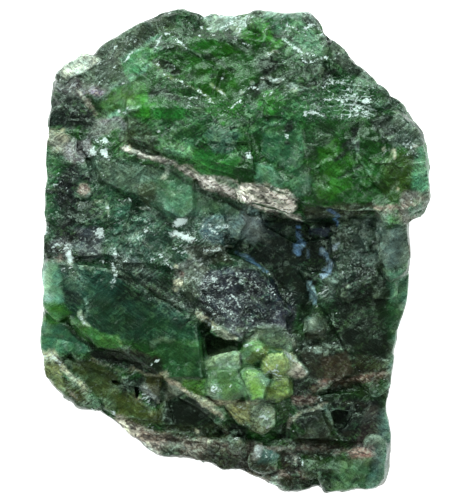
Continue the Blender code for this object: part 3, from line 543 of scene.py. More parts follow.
    ((46, 46, 40), 0.8, [(286, 436), (330, 436), (348, 448), (320, 456), (286, 450)]),
    # a painted glint on a small crystal at the foot
    ((225, 236, 236), 0.95, [(256, 444), (262, 442), (264, 449), (257, 457), (252, 458)]),
    ((110, 150, 140), 0.95, [(262, 449), (272, 446), (278, 454), (272, 461), (262, 463), (256, 459)]),
    ((92, 78, 70), 0.9, [(236, 462), (262, 464), (286, 466), (290, 474), (270, 482), (246, 478)]),
    ((48, 46, 42), 0.9, [(278, 450), (300, 450), (304, 470), (284, 472)]),
    ((175, 195, 180), 0.95, [(268, 476), (276, 473), (281, 480), (290, 490), (280, 498), (272, 490)]),
    ((46, 56, 30), 0.9, [(280, 474), (300, 474), (316, 484), (312, 498), (288, 496)]),
    ((96, 72, 48), 0.7, [(298, 468), (312, 468), (314, 478), (300, 478)]),
    ((40, 62, 34), 0.9, [(304, 470), (330, 466), (332, 492), (314, 486)]),
    ((122, 106, 88), 0.9, [(345, 452), (356, 446), (373, 444), (377, 450), (368, 456), (350, 457)]),
    ((84, 120, 84), 0.95, [(329, 460), (345, 458), (373, 456), (374, 464), (370, 480), (362, 487),
        (345, 492), (329, 492), (331, 472)]),
    ((28, 48, 34), 0.9, [(366, 462), (373, 458), (371, 482), (362, 487)]),
    ((92, 132, 120), 0.95, [(378, 410), (388, 404), (396, 424), (396, 440), (394, 480), (382, 492),
        (367, 490), (370, 470), (374, 450), (377, 430)]),
    ((112, 136, 122), 0.8, [(387, 340), (398, 336), (396, 400), (386, 404)]),
]

# Flat panes of the break with straight, crisp edges: colour, strength, outline on the sheet
PANES = [
    ((92, 150, 104), 0.6, [(124, 62), (146, 51), (155, 52), (150, 62), (138, 72), (131, 88), (126, 76)]),
    ((52, 88, 66), 0.6, [(262, 136), (298, 132), (300, 182), (280, 168), (260, 156)]),
    ((74, 106, 82), 0.5, [(293, 134), (301, 130), (303, 180), (296, 186)]),
    ((26, 50, 24), 0.35, [(303, 130), (334, 124), (336, 150), (318, 162), (304, 160)]),
    ((104, 142, 116), 0.7, [(256, 165), (270, 167), (285, 182), (280, 188), (262, 186), (255, 180)]),
    ((98, 138, 106), 0.6, [(288, 186), (298, 175), (311, 177), (307, 196), (296, 198)]),
    ((58, 116, 36), 0.6, [(318, 152), (334, 140), (352, 158), (350, 190), (330, 200), (322, 180)]),
    ((42, 92, 32), 0.6, [(356, 142), (378, 134), (388, 150), (378, 180), (364, 190), (352, 176)]),
    ((30, 70, 26), 0.6, [(242, 160), (256, 165), (255, 184), (240, 184), (232, 172)]),
    ((64, 96, 70), 0.7, [(166, 168), (180, 173), (193, 176), (197, 224), (184, 222), (170, 210),
        (160, 196)]),
    ((60, 86, 64), 0.7, [(196, 184), (226, 197), (244, 206), (238, 216), (206, 214), (198, 206)]),
    ((90, 98, 96), 0.8, [(244, 214), (262, 216), (265, 236), (252, 246), (242, 232)]),
    ((42, 46, 46), 0.7, [(262, 222), (286, 226), (290, 258), (268, 268), (258, 244)]),
    ((58, 62, 54), 0.7, [(284, 262), (296, 256), (306, 272), (306, 302), (286, 304)]),
    ((104, 124, 110), 0.7, [(378, 246), (388, 230), (400, 225), (410, 228), (410, 260), (400, 267),
        (388, 270)]),
    ((78, 126, 98), 0.7, [(388, 273), (402, 268), (412, 273), (411, 298), (398, 302), (388, 302)]),
    ((88, 104, 88), 0.8, [(303, 320), (314, 314), (326, 320), (324, 337), (308, 338)]),
    ((48, 86, 50), 0.7, [(150, 342), (204, 338), (208, 372), (200, 379), (168, 381), (164, 360)]),
    ((66, 114, 56), 0.8, [(70, 322), (92, 326), (112, 333), (121, 333), (122, 348), (102, 349), (86, 338)]),
    ((56, 100, 74), 0.7, [(36, 324), (62, 322), (80, 335), (97, 350), (78, 354), (36, 348)]),
    ((34, 30, 24), 0.8, [(97, 350), (122, 346), (140, 351), (162, 358), (165, 374), (148, 365),
        (118, 360)]),
    ((66, 74, 44), 0.7, [(66, 358), (92, 360), (120, 376), (118, 402), (98, 396), (84, 378)]),
    ((62, 72, 38), 0.8, [(118, 392), (136, 397), (152, 410), (163, 406), (163, 422), (140, 421),
        (118, 412)]),
    ((72, 74, 42), 0.8, [(146, 375), (163, 374), (163, 396), (154, 393), (148, 385)]),
    ((36, 44, 36), 0.8, [(166, 402), (186, 394), (200, 400), (217, 416), (212, 421), (190, 426),
        (166, 421)]),
    ((136, 150, 128), 0.8, [(166, 382), (174, 384), (183, 391), (172, 398), (166, 401)]),
    ((56, 66, 54), 0.8, [(300, 350), (318, 344), (332, 356), (328, 386), (306, 374)]),
    ((66, 68, 48), 0.8, [(320, 358), (346, 350), (353, 372), (324, 381)]),
    ((30, 46, 28), 0.8, [(346, 322), (388, 306), (390, 346), (386, 360), (352, 350), (340, 336)]),
    ((32, 34, 42), 0.55, [(332, 402), (352, 403), (350, 430), (344, 434), (336, 424)]),
    ((62, 84, 66), 0.8, [(305, 412), (325, 406), (337, 417), (326, 438), (304, 438)]),
    ((74, 82, 78), 0.7, [(368, 398), (378, 408), (375, 448), (354, 446)]),
    ((82, 118, 106), 0.8, [(378, 410), (389, 404), (396, 424), (395, 480), (384, 492), (367, 490),
        (371, 470), (375, 450)]),
    ((52, 56, 36), 0.7, [(280, 474), (300, 474), (314, 484), (310, 498), (290, 494)]),
    # a painted glint on a small crystal at the foot
    ((228, 236, 236), 0.9, [(256, 444), (262, 442), (264, 449), (257, 457), (252, 458)]),
    ((96, 136, 128), 0.8, [(263, 450), (272, 446), (279, 454), (272, 462), (262, 464), (257, 458)]),
]

# Washes that deepen or lift a stretch of the front, partly the stone's own tone and partly painted light
# and shade: one share, or red, green and blue ones, and the outline
WASHES = [
    ((0.80, 0.98, 0.86), [(110, 100), (190, 104), (300, 98), (302, 200), (240, 190), (120, 140)]),
    ((0.70, 0.76, 0.52), [(160, 40), (262, 30), (280, 60), (262, 100), (200, 110), (160, 84)]),
    ((0.42, 0.46, 0.44), [(252, 58), (300, 52), (330, 66), (326, 88), (300, 96), (256, 94)]),
    ((0.72, 0.84, 0.72), [(186, 90), (256, 94), (250, 124), (190, 124)]),
    ((1.60, 1.50, 1.50), [(214, 4), (310, 4), (318, 24), (250, 28), (214, 24)]),
    ((1.55, 1.50, 1.50), [(100, 94), (150, 92), (160, 124), (120, 146), (92, 140)]),
    ((0.50, 0.52, 0.54), [(50, 92), (84, 96), (98, 118), (88, 132), (56, 130)]),
    (1.40, [(150, 148), (200, 146), (240, 160), (250, 184), (220, 180), (180, 164)]),
    ((1.20, 1.25, 1.20), [(244, 122), (304, 122), (304, 160), (250, 156)]),
    (0.66, [(282, 172), (314, 172), (312, 198), (284, 198)]),
    ((0.66, 0.70, 0.66), [(366, 116), (404, 116), (418, 146), (380, 148)]),
    ((1.35, 1.30, 1.35), [(392, 152), (430, 152), (430, 200), (396, 200)]),
    ((0.84, 0.88, 0.92), [(302, 124), (404, 122), (412, 200), (302, 208)]),
    ((0.40, 0.76, 0.44), [(296, 88), (345, 72), (404, 104), (410, 124), (302, 124)]),
    ((1.30, 1.32, 1.32), [(46, 128), (90, 128), (100, 176), (46, 176)]),
    ((1.25, 1.20, 1.25), [(40, 150), (58, 150), (60, 212), (40, 212)]),
    ((0.60, 0.60, 0.64), [(36, 240), (62, 238), (64, 266), (36, 266)]),
    ((1.25, 1.25, 1.32), [(96, 176), (160, 186), (212, 188), (240, 206), (200, 216), (110, 226)]),
    ((0.82, 0.90, 0.98), [(46, 166), (104, 176), (112, 264), (44, 264)]),
    ((1.90, 1.75, 2.20), [(112, 204), (200, 212), (230, 250), (176, 272), (112, 262)]),
    ((0.90, 0.84, 1.05), [(176, 262), (240, 262), (298, 300), (292, 338), (200, 312)]),
    ((0.62, 0.64, 0.78), [(262, 216), (344, 222), (320, 282), (306, 306), (280, 306), (256, 268)]),
    ((0.46, 0.46, 0.50), [(330, 270), (366, 268), (366, 302), (330, 302)]),
    ((1.60, 1.55, 1.85), [(352, 216), (400, 216), (396, 266), (352, 266)]),
    ((0.84, 0.82, 0.86), [(58, 262), (176, 300), (206, 330), (206, 380), (150, 345), (60, 322)]),
    ((0.62, 0.66, 0.72), [(124, 270), (180, 284), (188, 310), (124, 296)]),
    ((1.35, 1.30, 1.35), [(56, 302), (120, 330), (122, 356), (60, 352)]),
    ((1.90, 1.85, 1.90), [(34, 316), (54, 316), (62, 352), (34, 352)]),
    (1.60, [(96, 380), (120, 384), (160, 390), (162, 420), (104, 416)]),
    (0.60, [(56, 388), (84, 396), (96, 416), (60, 406)]),
    ((1.80, 1.65, 1.65), [(112, 408), (166, 430), (164, 462), (130, 446)]),
    ((0.74, 0.70, 0.70), [(160, 426), (250, 436), (256, 470), (200, 462), (160, 450)]),
    (0.42, [(204, 450), (268, 452), (268, 482), (204, 470)]),
    (0.50, [(270, 480), (320, 482), (320, 500), (270, 500)]),
    ((0.80, 0.60, 0.66), [(292, 330), (386, 310), (384, 440), (290, 440)]),
    (1.40, [(352, 356), (388, 356), (388, 420), (352, 420)]),
    ((1.60, 1.55, 1.50), [(206, 334), (250, 326), (300, 332), (304, 352), (262, 342), (206, 356)]),
    ((1.20, 1.16, 1.24), [(206, 346), (262, 338), (308, 372), (292, 402), (276, 432), (240, 424),
        (206, 400)]),
    # single dull and bright stretches, partly painted shade and painted light
    ((0.56, 0.68, 0.48), [(236, 62), (304, 62), (306, 92), (238, 94)]),
    ((0.74, 0.86, 0.48), [(184, 42), (262, 40), (262, 92), (188, 92)]),
    ((0.66, 0.78, 0.62), [(150, 28), (206, 26), (206, 62), (152, 62)]),
    ((1.06, 0.60, 1.16), [(92, 90), (140, 88), (140, 118), (92, 118)]),
    ((0.66, 0.72, 0.64), [(150, 92), (182, 92), (182, 120), (150, 120)]),
    ((0.62, 0.62, 0.64), [(352, 122), (412, 118), (414, 150), (352, 150)]),
    ((0.76, 0.78, 0.80), [(332, 150), (362, 150), (362, 180), (332, 180)]),
    ((1.85, 1.56, 1.95), [(152, 148), (236, 150), (240, 182), (210, 176), (152, 166)]),
    ((1.65, 1.60, 1.66), [(210, 186), (262, 198), (300, 208), (300, 222), (262, 214), (212, 204)]),
    ((3.30, 3.20, 3.30), [(238, 212), (270, 214), (270, 238), (240, 240)]),
    (1.50, [(118, 180), (152, 184), (152, 210), (118, 208)]),
    (1.50, [(90, 212), (122, 212), (122, 240), (90, 240)]),
    ((0.58, 0.58, 0.60), [(34, 240), (90, 242), (90, 270), (34, 268)]),
    (1.90, [(360, 212), (396, 212), (396, 240), (360, 240)]),
    ((0.56, 0.54, 0.56), [(120, 272), (182, 272), (186, 300), (120, 300)]),
    ((1.20, 0.80, 0.96), [(276, 430), (382, 430), (378, 470), (330, 456), (326, 496), (284, 496)]),
    ((1.15, 0.92, 1.02), [(296, 340), (388, 352), (388, 392), (300, 392)]),
    ((1.10, 0.94, 0.96), [(118, 384), (164, 380), (220, 420), (160, 420)]),
    ((0.56, 0.54, 0.60), [(240, 244), (272, 250), (274, 326), (240, 326)]),
    ((0.54, 0.50, 0.56), [(332, 272), (362, 272), (362, 330), (332, 330)]),
    ((0.70, 0.66, 0.70), [(392, 302), (412, 302), (412, 332), (392, 332)]),
    ((1.75, 1.80, 1.75), [(212, 334), (238, 330), (302, 330), (302, 356), (262, 344), (212, 346)]),
    ((0.80, 0.80, 0.82), [(212, 360), (240, 362), (240, 392), (212, 390)]),
    (0.74, [(58, 392), (92, 394), (92, 418), (58, 414)]),
    ((0.66, 0.62, 0.66), [(300, 392), (332, 392), (332, 420), (300, 420)]),
    ((0.64, 0.62, 0.66), [(208, 450), (242, 452), (242, 482), (208, 476)]),
    ((0.52, 0.50, 0.52), [(298, 478), (330, 480), (330, 500), (298, 500)]),
    ((1.55, 1.60, 1.60), [(262, 6), (302, 8), (302, 26), (262, 26)]),
    ((0.60, 0.62, 0.60), [(150, 148), (178, 148), (178, 172), (150, 172)]),
    ((1.75, 1.70, 1.75), [(184, 152), (212, 154), (212, 180), (184, 178)]),
    (1.35, [(152, 184), (206, 184), (206, 210), (152, 210)]),
    (1.90, [(272, 214), (334, 218), (330, 240), (274, 240)]),
    ((1.40, 1.36, 1.36), [(270, 34), (300, 34), (300, 58), (270, 58)]),
    (1.35, [(92, 302), (120, 302), (120, 330), (92, 330)]),
    (0.66, [(268, 191), (300, 191), (300, 210), (268, 208)]),
    ((0.52, 0.60, 0.52), [(150, 90), (172, 90), (172, 112), (150, 112)]),
    (0.66, [(50, 246), (72, 246), (72, 272), (50, 272)]),
    ((1.48, 1.44, 1.50), [(258, 330), (292, 330), (292, 350), (258, 350)]),
    ((1.70, 1.66, 1.70), [(270, 110), (310, 110), (310, 130), (270, 130)]),
    ((0.56, 0.54, 0.54), [(290, 400), (322, 400), (322, 420), (290, 420)]),
    ((1.70, 1.66, 1.66), [(380, 288), (400, 288), (400, 312), (380, 312)]),
    ((1.85, 1.75, 1.85), [(200, 340), (222, 340), (222, 360), (200, 360)]),
    ((1.65, 1.60, 1.75), [(281, 310), (311, 310), (311, 330), (281, 330)]),
    ((0.60, 0.58, 0.58), [(260, 310), (279, 310), (279, 330), (260, 330)]),
    ((0.64, 0.74, 0.50), [(230, 60), (252, 60), (252, 80), (230, 80)]),
    ((1.60, 1.56, 1.70), [(50, 110), (72, 110), (72, 132), (50, 132)]),
    ((1.50, 1.45, 1.60), [(240, 210), (270, 210), (270, 230), (240, 230)]),
    ((0.72, 0.70, 0.68), [(182, 222), (220, 222), (220, 250), (182, 250)]),
    ((1.40, 1.36, 1.44), [(150, 160), (172, 160), (172, 180), (150, 180)]),
    ((0.64, 0.62, 0.64), [(200, 400), (222, 400), (222, 420), (200, 420)]),
    ((0.80, 0.82, 0.84), [(124, 362), (150, 362), (150, 392), (124, 392)]),
    ((0.82, 0.82, 0.84), [(184, 216), (238, 216), (238, 240), (184, 240)]),
    ((0.76, 0.76, 0.78), [(332, 392), (358, 392), (358, 418), (332, 418)]),
    (1.35, [(272, 394), (300, 394), (300, 418), (272, 418)]),
    ((0.62, 0.74, 0.70), [(180, 4), (208, 8), (208, 30), (184, 30)]),
    (1.50, [(180, 196), (242, 206), (244, 214), (196, 212)]),
    ((0.66, 0.64, 0.68), [(390, 232), (414, 232), (414, 268), (390, 268)]),
    ((0.74, 0.72, 0.76), [(334, 212), (360, 212), (360, 240), (334, 240)]),
    ((0.62, 0.58, 0.62), [(358, 424), (392, 424), (392, 450), (358, 450)]),
    (1.70, [(180, 332), (206, 332), (206, 356), (180, 356)]),
    ((0.72, 0.70, 0.74), [(182, 362), (206, 362), (206, 382), (182, 382)]),
    (1.50, [(214, 396), (238, 398), (238, 420), (214, 416)]),
]

# Cracks, seams and streaks: colour, strength, width, line on the sheet
LINES = [
    ((120, 128, 120), 0.7, 2.5, [(108, 60), (122, 47), (142, 42)]),
    ((128, 136, 126), 0.6, 2.0, [(98, 80), (116, 66), (134, 54), (152, 44)]),
    ((116, 122, 112), 0.6, 2.0, [(96, 72), (112, 62), (128, 50)]),
    ((110, 118, 108), 0.6, 2.0, [(134, 34), (150, 24), (164, 20)]),
    ((130, 180, 150), 0.9, 3.5, [(122, 61), (140, 54), (152, 44), (158, 40)]),
    ((140, 190, 160), 0.8, 4.5, [(131, 84), (142, 74), (150, 67), (155, 63)]),
    ((120, 140, 125), 0.8, 4.0, [(98, 100), (112, 92), (122, 85), (132, 77)]),
    ((140, 190, 155), 0.9, 5.0, [(110, 117), (126, 112), (141, 108)]),
    ((140, 128, 118), 0.9, 4.0, [(80, 92), (88, 102), (98, 115)]),
    ((30, 36, 24), 0.95, 6.0, [(153, 95), (163, 92), (172, 98), (179, 103)]),
    ((36, 38, 24), 0.95, 7.0, [(156, 64), (166, 68), (176, 74)]),
    ((150, 170, 120), 0.5, 2.6, [(155, 66), (165, 76), (178, 84), (190, 88), (200, 93), (214, 103)]),
    ((32, 50, 26), 0.85, 4.5, [(185, 54), (200, 58), (216, 62), (232, 74)]),
    ((34, 56, 28), 0.85, 4.0, [(226, 32), (242, 46), (256, 58)]),
    ((48, 58, 56), 0.9, 5.0, [(212, 78), (220, 79), (227, 82)]),
    # a pale streak of painted highlight
    ((190, 215, 170), 0.9, 2.4, [(212, 87), (222, 94)]),
    ((36, 40, 30), 0.9, 4.0, [(274, 38), (288, 40), (297, 46)]),
    ((190, 212, 196), 0.9, 2.2, [(282, 41), (292, 48), (303, 57)]),
    ((150, 152, 146), 0.8, 3.0, [(266, 58), (272, 52), (277, 55)]),
    ((190, 200, 192), 0.8, 2.5, [(262, 81), (268, 79), (274, 84), (282, 83)]),
    ((24, 34, 22), 0.9, 4.5, [(298, 98), (306, 90), (316, 86), (326, 81), (333, 74)]),
    ((20, 24, 18), 0.9, 4.5, [(340, 150), (350, 141), (356, 131)]),
    ((22, 30, 18), 0.9, 3.5, [(334, 160), (348, 152), (356, 147)]),
    ((24, 42, 18), 0.9, 3.0, [(338, 179), (352, 170), (360, 166)]),
    ((120, 124, 122), 0.8, 4.0, [(346, 148), (354, 144), (356, 152)]),
    ((150, 190, 160), 0.7, 2.0, [(352, 146), (356, 156), (368, 176)]),
    ((120, 150, 120), 0.7, 2.0, [(372, 180), (382, 162), (390, 152)]),
    ((130, 150, 130), 0.6, 2.0, [(384, 200), (390, 188), (396, 184)]),
    # a painted glint
    ((240, 245, 240), 0.9, 2.0, [(402, 147), (410, 147)]),
    ((28, 52, 22), 0.7, 2.0, [(336, 120), (346, 140), (352, 160)]),
    ((70, 120, 60), 0.6, 2.0, [(360, 118), (370, 132), (376, 146)]),
    ((92, 128, 108), 0.6, 2.5, [(262, 124), (276, 128), (294, 126)]),
    # the ledge: pale earth of the seam, lifted to near white as painted light where the ledge faces away
    # from the lamps
    ((232, 218, 206), 1.0, 4.0, [(126, 149), (133, 152), (151, 158), (164, 161), (175, 164), (184, 171)]),
    ((255, 243, 228), 1.0, 14.0, [(208, 183), (226, 188), (242, 194)]),
    ((255, 240, 222), 0.95, 15.0, [(246, 193), (262, 197), (276, 201), (288, 207)]),
    ((112, 120, 92), 0.7, 3.0, [(250, 192), (258, 199), (266, 200)]),
    ((96, 104, 78), 0.7, 2.6, [(268, 195), (276, 201), (284, 204)]),
    ((110, 134, 102), 0.8, 5.0, [(219, 183), (228, 184), (235, 187)]),
    ((146, 174, 144), 0.9, 7.0, [(218, 181), (228, 183), (235, 187)]),
    ((255, 236, 224), 1.0, 4.6, [(184, 171), (195, 177), (209, 183), (219, 190), (231, 195), (243, 199),
        (254, 206), (268, 210), (282, 212), (298, 219)]),
    ((255, 245, 230), 0.95, 2.6, [(210, 177), (221, 178), (231, 181), (238, 186), (248, 184), (260, 185),
        (271, 188), (282, 191), (294, 200)]),
    ((226, 216, 200), 0.85, 3.0, [(186, 167), (194, 171), (202, 178)]),
    ((226, 204, 190), 0.9, 3.0, [(262, 188), (272, 196), (284, 199), (292, 208)]),
    ((110, 84, 74), 0.7, 1.8, [(196, 181), (206, 188), (218, 194), (234, 200), (250, 208)]),
    ((52, 56, 46), 0.7, 2.2, [(252, 192), (262, 196), (266, 204)]),
    ((230, 222, 200), 0.9, 2.6, [(238, 192), (246, 190), (254, 188)]),
    ((150, 122, 112), 0.95, 5.0, [(374, 207), (388, 208), (402, 205), (414, 206)]),
    ((150, 148, 135), 0.9, 5.0, [(376, 213), (390, 213), (402, 216), (408, 219)]),
    ((60, 48, 40), 0.9, 3.0, [(424, 204), (422, 214), (416, 219)]),
    # a near-black line under the ledge: painted shadow beneath its overhang, also cut in as a shallow crack
    ((14, 14, 14), 0.95, 4.0, [(262, 215), (280, 218), (297, 225), (312, 228), (332, 226), (346, 223)]),
    ((26, 30, 26), 0.8, 2.4, [(140, 165), (160, 169), (180, 178), (190, 186), (206, 195), (230, 206),
        (250, 214)]),
    # left of the middle: the near-white and blue-white lines are painted glints
    ((192, 205, 188), 0.95, 4.5, [(168, 167), (164, 180)]),
    ((190, 215, 190), 0.8, 2.0, [(108, 202), (109, 219)]),
    ((205, 214, 205), 0.9, 2.6, [(141, 208), (151, 209)]),
    ((150, 160, 140), 0.6, 1.8, [(80, 202), (92, 206), (102, 202)]),
    ((235, 240, 238), 0.95, 4.5, [(172, 233), (182, 236), (192, 241)]),
    ((150, 165, 145), 0.7, 2.5, [(130, 240), (142, 232), (152, 228)]),
    ((235, 240, 236), 0.9, 5.0, [(71, 254), (74, 263)]),
    ((122, 142, 118), 0.8, 8.0, [(72, 264), (76, 276)]),
    ((190, 206, 206), 0.9, 2.6, [(116, 268), (117, 276), (113, 284)]),
    ((190, 215, 228), 0.9, 3.0, [(217, 227), (229, 226)]),
    ((160, 160, 145), 0.7, 3.5, [(208, 251), (224, 248), (230, 246)]),
    ((176, 186, 180), 0.8, 2.2, [(188, 246), (192, 254), (196, 260)]),
    ((20, 22, 20), 0.7, 4.0, [(150, 210), (164, 216), (176, 228)]),
    ((26, 34, 28), 0.7, 3.0, [(120, 192), (130, 200), (138, 206)]),
    ((196, 196, 172), 0.95, 7.0, [(200, 314), (208, 320), (218, 330), (232, 336)]),
    ((120, 128, 124), 0.6, 3.0, [(140, 282), (160, 292), (178, 304), (188, 308)]),
    ((20, 24, 22), 0.7, 4.0, [(122, 278), (142, 284), (164, 296), (182, 310)]),
    # the recess: its bright blue lines are painted glints
    ((150, 190, 250), 0.95, 7.0, [(296, 251), (298, 244), (302, 242)]),
    ((130, 165, 235), 0.9, 4.0, [(299, 229), (300, 240)]),
    ((130, 165, 225), 0.9, 4.0, [(328, 211), (334, 216), (337, 226)]),
    ((165, 195, 240), 0.9, 3.0, [(308, 250), (309, 257)]),
    ((180, 208, 250), 0.9, 4.5, [(321, 249), (326, 258)]),
    ((190, 218, 252), 0.95, 5.5, [(329, 263), (326, 270), (322, 274)]),
    ((185, 225, 250), 0.95, 5.5, [(309, 282), (311, 291), (314, 303)]),
    ((215, 228, 245), 0.9, 4.0, [(335, 245), (333, 250)]),
    ((115, 150, 195), 0.9, 3.0, [(237, 253), (250, 260), (266, 271)]),
    ((72, 74, 108), 0.8, 8.0, [(313, 230), (325, 231)]),
    ((110, 112, 108), 0.6, 2.0, [(262, 240), (270, 242)]),
    ((140, 150, 142), 0.7, 2.5, [(266, 272), (273, 275)]),
    # the right side
    ((36, 44, 36), 0.9, 2.2, [(376, 260), (384, 268), (392, 271), (402, 268)]),
    ((60, 74, 62), 0.7, 1.8, [(380, 250), (388, 243), (397, 240)]),
    ((112, 98, 94), 0.9, 5.0, [(402, 221), (409, 238), (410, 262), (406, 272)]),
    ((150, 185, 165), 0.8, 2.5, [(406, 300), (397, 330), (393, 345)]),
    ((96, 118, 96), 0.6, 1.5, [(346, 316), (356, 311), (368, 310)]),
    ((90, 112, 90), 0.6, 1.5, [(350, 320), (364, 316), (378, 312)]),
    ((120, 126, 108), 0.6, 2.0, [(316, 344), (336, 346), (348, 358)]),
    # the lower left
    ((110, 165, 120), 0.9, 3.5, [(43, 300), (42, 322), (43, 346)]),
    # the next two lines are painted highlights on the left strip and below it
    ((190, 226, 206), 0.9, 8.0, [(46, 274), (48, 286), (50, 298)]),
    ((180, 205, 185), 0.9, 4.5, [(81, 314), (90, 325)]),
    ((150, 180, 160), 0.8, 3.0, [(86, 300), (90, 308), (88, 316)]),
    ((112, 142, 122), 0.7, 3.0, [(62, 334), (70, 350)]),
    ((122, 152, 118), 0.85, 4.5, [(152, 342), (160, 337), (174, 338)]),
    ((120, 150, 100), 0.7, 2.5, [(112, 336), (118, 334), (124, 346)]),
    ((20, 36, 22), 0.8, 4.0, [(70, 324), (84, 338), (98, 349), (112, 352)]),
    ((120, 136, 112), 0.85, 2.2, [(80, 360), (92, 368)]),
    ((152, 156, 132), 0.9, 2.2, [(94, 359), (107, 365), (120, 370), (133, 371)]),
    ((152, 146, 116), 0.9, 3.0, [(131, 366), (142, 371), (156, 374), (164, 373)]),
    ((192, 186, 160), 0.95, 4.5, [(54, 352), (62, 362), (72, 374), (88, 388)]),
    ((150, 140, 120), 0.9, 2.5, [(70, 386), (78, 396), (84, 402)]),
    ((60, 70, 40), 0.7, 2.5, [(50, 366), (58, 380), (62, 390)]),
    ((152, 142, 116), 0.9, 3.2, [(122, 389), (132, 394), (140, 398)]),
    ((140, 150, 120), 0.85, 2.5, [(140, 399), (147, 406), (153, 412)]),
    ((112, 128, 108), 0.85, 2.2, [(164, 382), (164, 400), (162, 421)]),
    ((166, 150, 126), 0.95, 4.5, [(166, 376), (180, 388), (192, 392), (204, 399), (213, 406), (223, 415)]),
    ((128, 168, 96), 0.7, 2.0, [(184, 378), (206, 379)]),
    ((24, 28, 20), 0.8, 3.0, [(96, 354), (120, 362), (140, 364)]),
    # the strata along the lower edge
    ((150, 136, 124), 0.8, 2.0, [(122, 416), (140, 424), (158, 433), (190, 438), (236, 441)]),
    ((60, 50, 44), 0.8, 2.0, [(128, 424), (150, 434), (176, 440), (210, 444), (244, 446)]),
    ((140, 126, 114), 0.7, 2.0, [(150, 440), (176, 446), (204, 450)]),
    ((56, 48, 42), 0.7, 2.5, [(156, 444), (180, 451), (204, 456), (232, 462)]),
    ((150, 130, 110), 0.7, 1.8, [(236, 437), (250, 441), (262, 443)]),
    ((96, 88, 76), 0.8, 2.0, [(212, 422), (226, 432), (242, 440)]),
    # the blocks' own edges
    ((170, 190, 160), 0.8, 1.4, [(207, 355), (220, 350), (233, 346), (240, 350)]),
    ((160, 190, 140), 0.6, 1.2, [(209, 367), (222, 365), (238, 370), (242, 382), (248, 396)]),
    ((170, 200, 170), 0.8, 1.2, [(243, 369), (250, 366), (258, 368), (266, 372)]),
    ((176, 200, 140), 0.6, 1.2, [(261, 370), (266, 374), (276, 374), (288, 374)]),
    ((190, 204, 176), 0.9, 2.0, [(286, 351), (294, 355), (300, 363), (307, 371)]),
    ((62, 74, 34), 0.8, 1.2, [(266, 384), (274, 380), (284, 375)]),
    ((186, 182, 150), 0.8, 1.8, [(209, 395), (222, 399), (236, 401), (250, 402), (258, 400)]),
    ((84, 96, 66), 0.8, 1.2, [(251, 404), (251, 419), (256, 424)]),
    ((150, 146, 120), 0.7, 1.6, [(224, 406), (232, 414), (241, 421), (254, 424), (262, 430)]),
    # below the chips
    ((150, 146, 130), 0.9, 3.2, [(286, 425), (290, 417), (300, 412), (312, 407), (325, 402)]),
    ((86, 66, 54), 0.85, 8.0, [(312, 388), (325, 384), (345, 380), (372, 376), (386, 372)]),
    ((120, 84, 70), 0.6, 2.0, [(318, 382), (340, 378), (370, 376)]),
    ((100, 86, 76), 0.85, 5.0, [(268, 446), (285, 446), (300, 446), (330, 446), (350, 452)]),
    ((150, 142, 130), 0.8, 2.5, [(274, 450), (284, 447), (292, 452), (297, 462)]),
    ((150, 142, 132), 0.7, 2.5, [(322, 444), (330, 448), (338, 452)]),
    ((64, 58, 52), 0.7, 3.0, [(344, 404), (358, 403), (376, 406)]),
    ((60, 58, 54), 0.7, 3.0, [(330, 436), (350, 430), (366, 424)]),
    ((80, 104, 96), 0.6, 3.6, [(324, 406), (330, 418)]),
    ((150, 176, 156), 0.8, 2.5, [(392, 412), (393, 426)]),
    ((140, 116, 102), 0.7, 2.2, [(246, 470), (258, 474), (268, 478)]),
    ((24, 40, 22), 0.9, 5.0, [(334, 474), (338, 480)]),
]

# Lumps of the solid that the break levels off: outlines on the sheet
LEVELLED = [
    [(150, 162), (214, 172), (216, 232), (152, 236)],
    [(242, 434), (286, 438), (288, 472), (246, 468)],
    [(102, 74), (150, 70), (156, 88), (150, 106), (104, 104)],
    [(288, 112), (350, 108), (384, 116), (384, 136), (340, 138), (290, 136)],
    [(210, 172), (300, 180), (300, 206), (214, 192)],
    [(250, 104), (300, 102), (300, 138), (252, 138)],
    [(150, 80), (214, 84), (216, 106), (152, 106)],
    [(290, 124), (314, 124), (314, 204), (290, 204)],
]

# Where the break is flat: outlines on the sheet
FLAT_PLACES = [
    [(246, 438), (282, 442), (280, 468), (248, 464)],
    [(372, 222), (412, 222), (414, 300), (404, 350), (386, 350), (380, 300)],
    [(158, 170), (204, 172), (204, 226), (160, 222)],
    [(366, 396), (400, 396), (398, 490), (366, 490)],
    [(80, 160), (160, 168), (160, 206), (128, 190)],
]

# Where the break is smooth and clear: strength, outline on the sheet
POLISHED = [
    (0.8, [(60, 276), (120, 290), (150, 300), (184, 326), (204, 334), (208, 378), (166, 380), (140, 346),
        (76, 322)]),
    (0.9, [(36, 262), (60, 262), (68, 300), (96, 350), (60, 352), (36, 346)]),
    (0.7, [(205, 345), (262, 338), (308, 372), (292, 400), (228, 402), (206, 400)]),
    (0.7, [(340, 310), (386, 270), (412, 270), (404, 340), (388, 362), (350, 352)]),
    (0.7, [(150, 172), (192, 176), (197, 222), (176, 222), (150, 204)]),
    (0.6, [(302, 124), (400, 124), (412, 150), (408, 196), (372, 206), (302, 206)]),
    (0.75, [(182, 42), (232, 46), (262, 52), (258, 84), (236, 104), (206, 100), (192, 70)]),
    (0.8, [(328, 456), (374, 452), (372, 490), (328, 490)]),
    (0.6, [(116, 92), (150, 84), (172, 100), (186, 114), (182, 121), (136, 119), (104, 110)]),
    (0.8, [(198, 152), (240, 160), (256, 168), (254, 184), (224, 178), (204, 170)]),
    (0.7, [(378, 230), (410, 226), (410, 266), (380, 270)]),
    (0.7, [(374, 400), (398, 404), (394, 484), (370, 488)]),
    (0.5, [(252, 220), (296, 224), (300, 260), (284, 300), (246, 262)]),
    (0.5, [(80, 166), (130, 165), (162, 176), (160, 201), (128, 187)]),
]

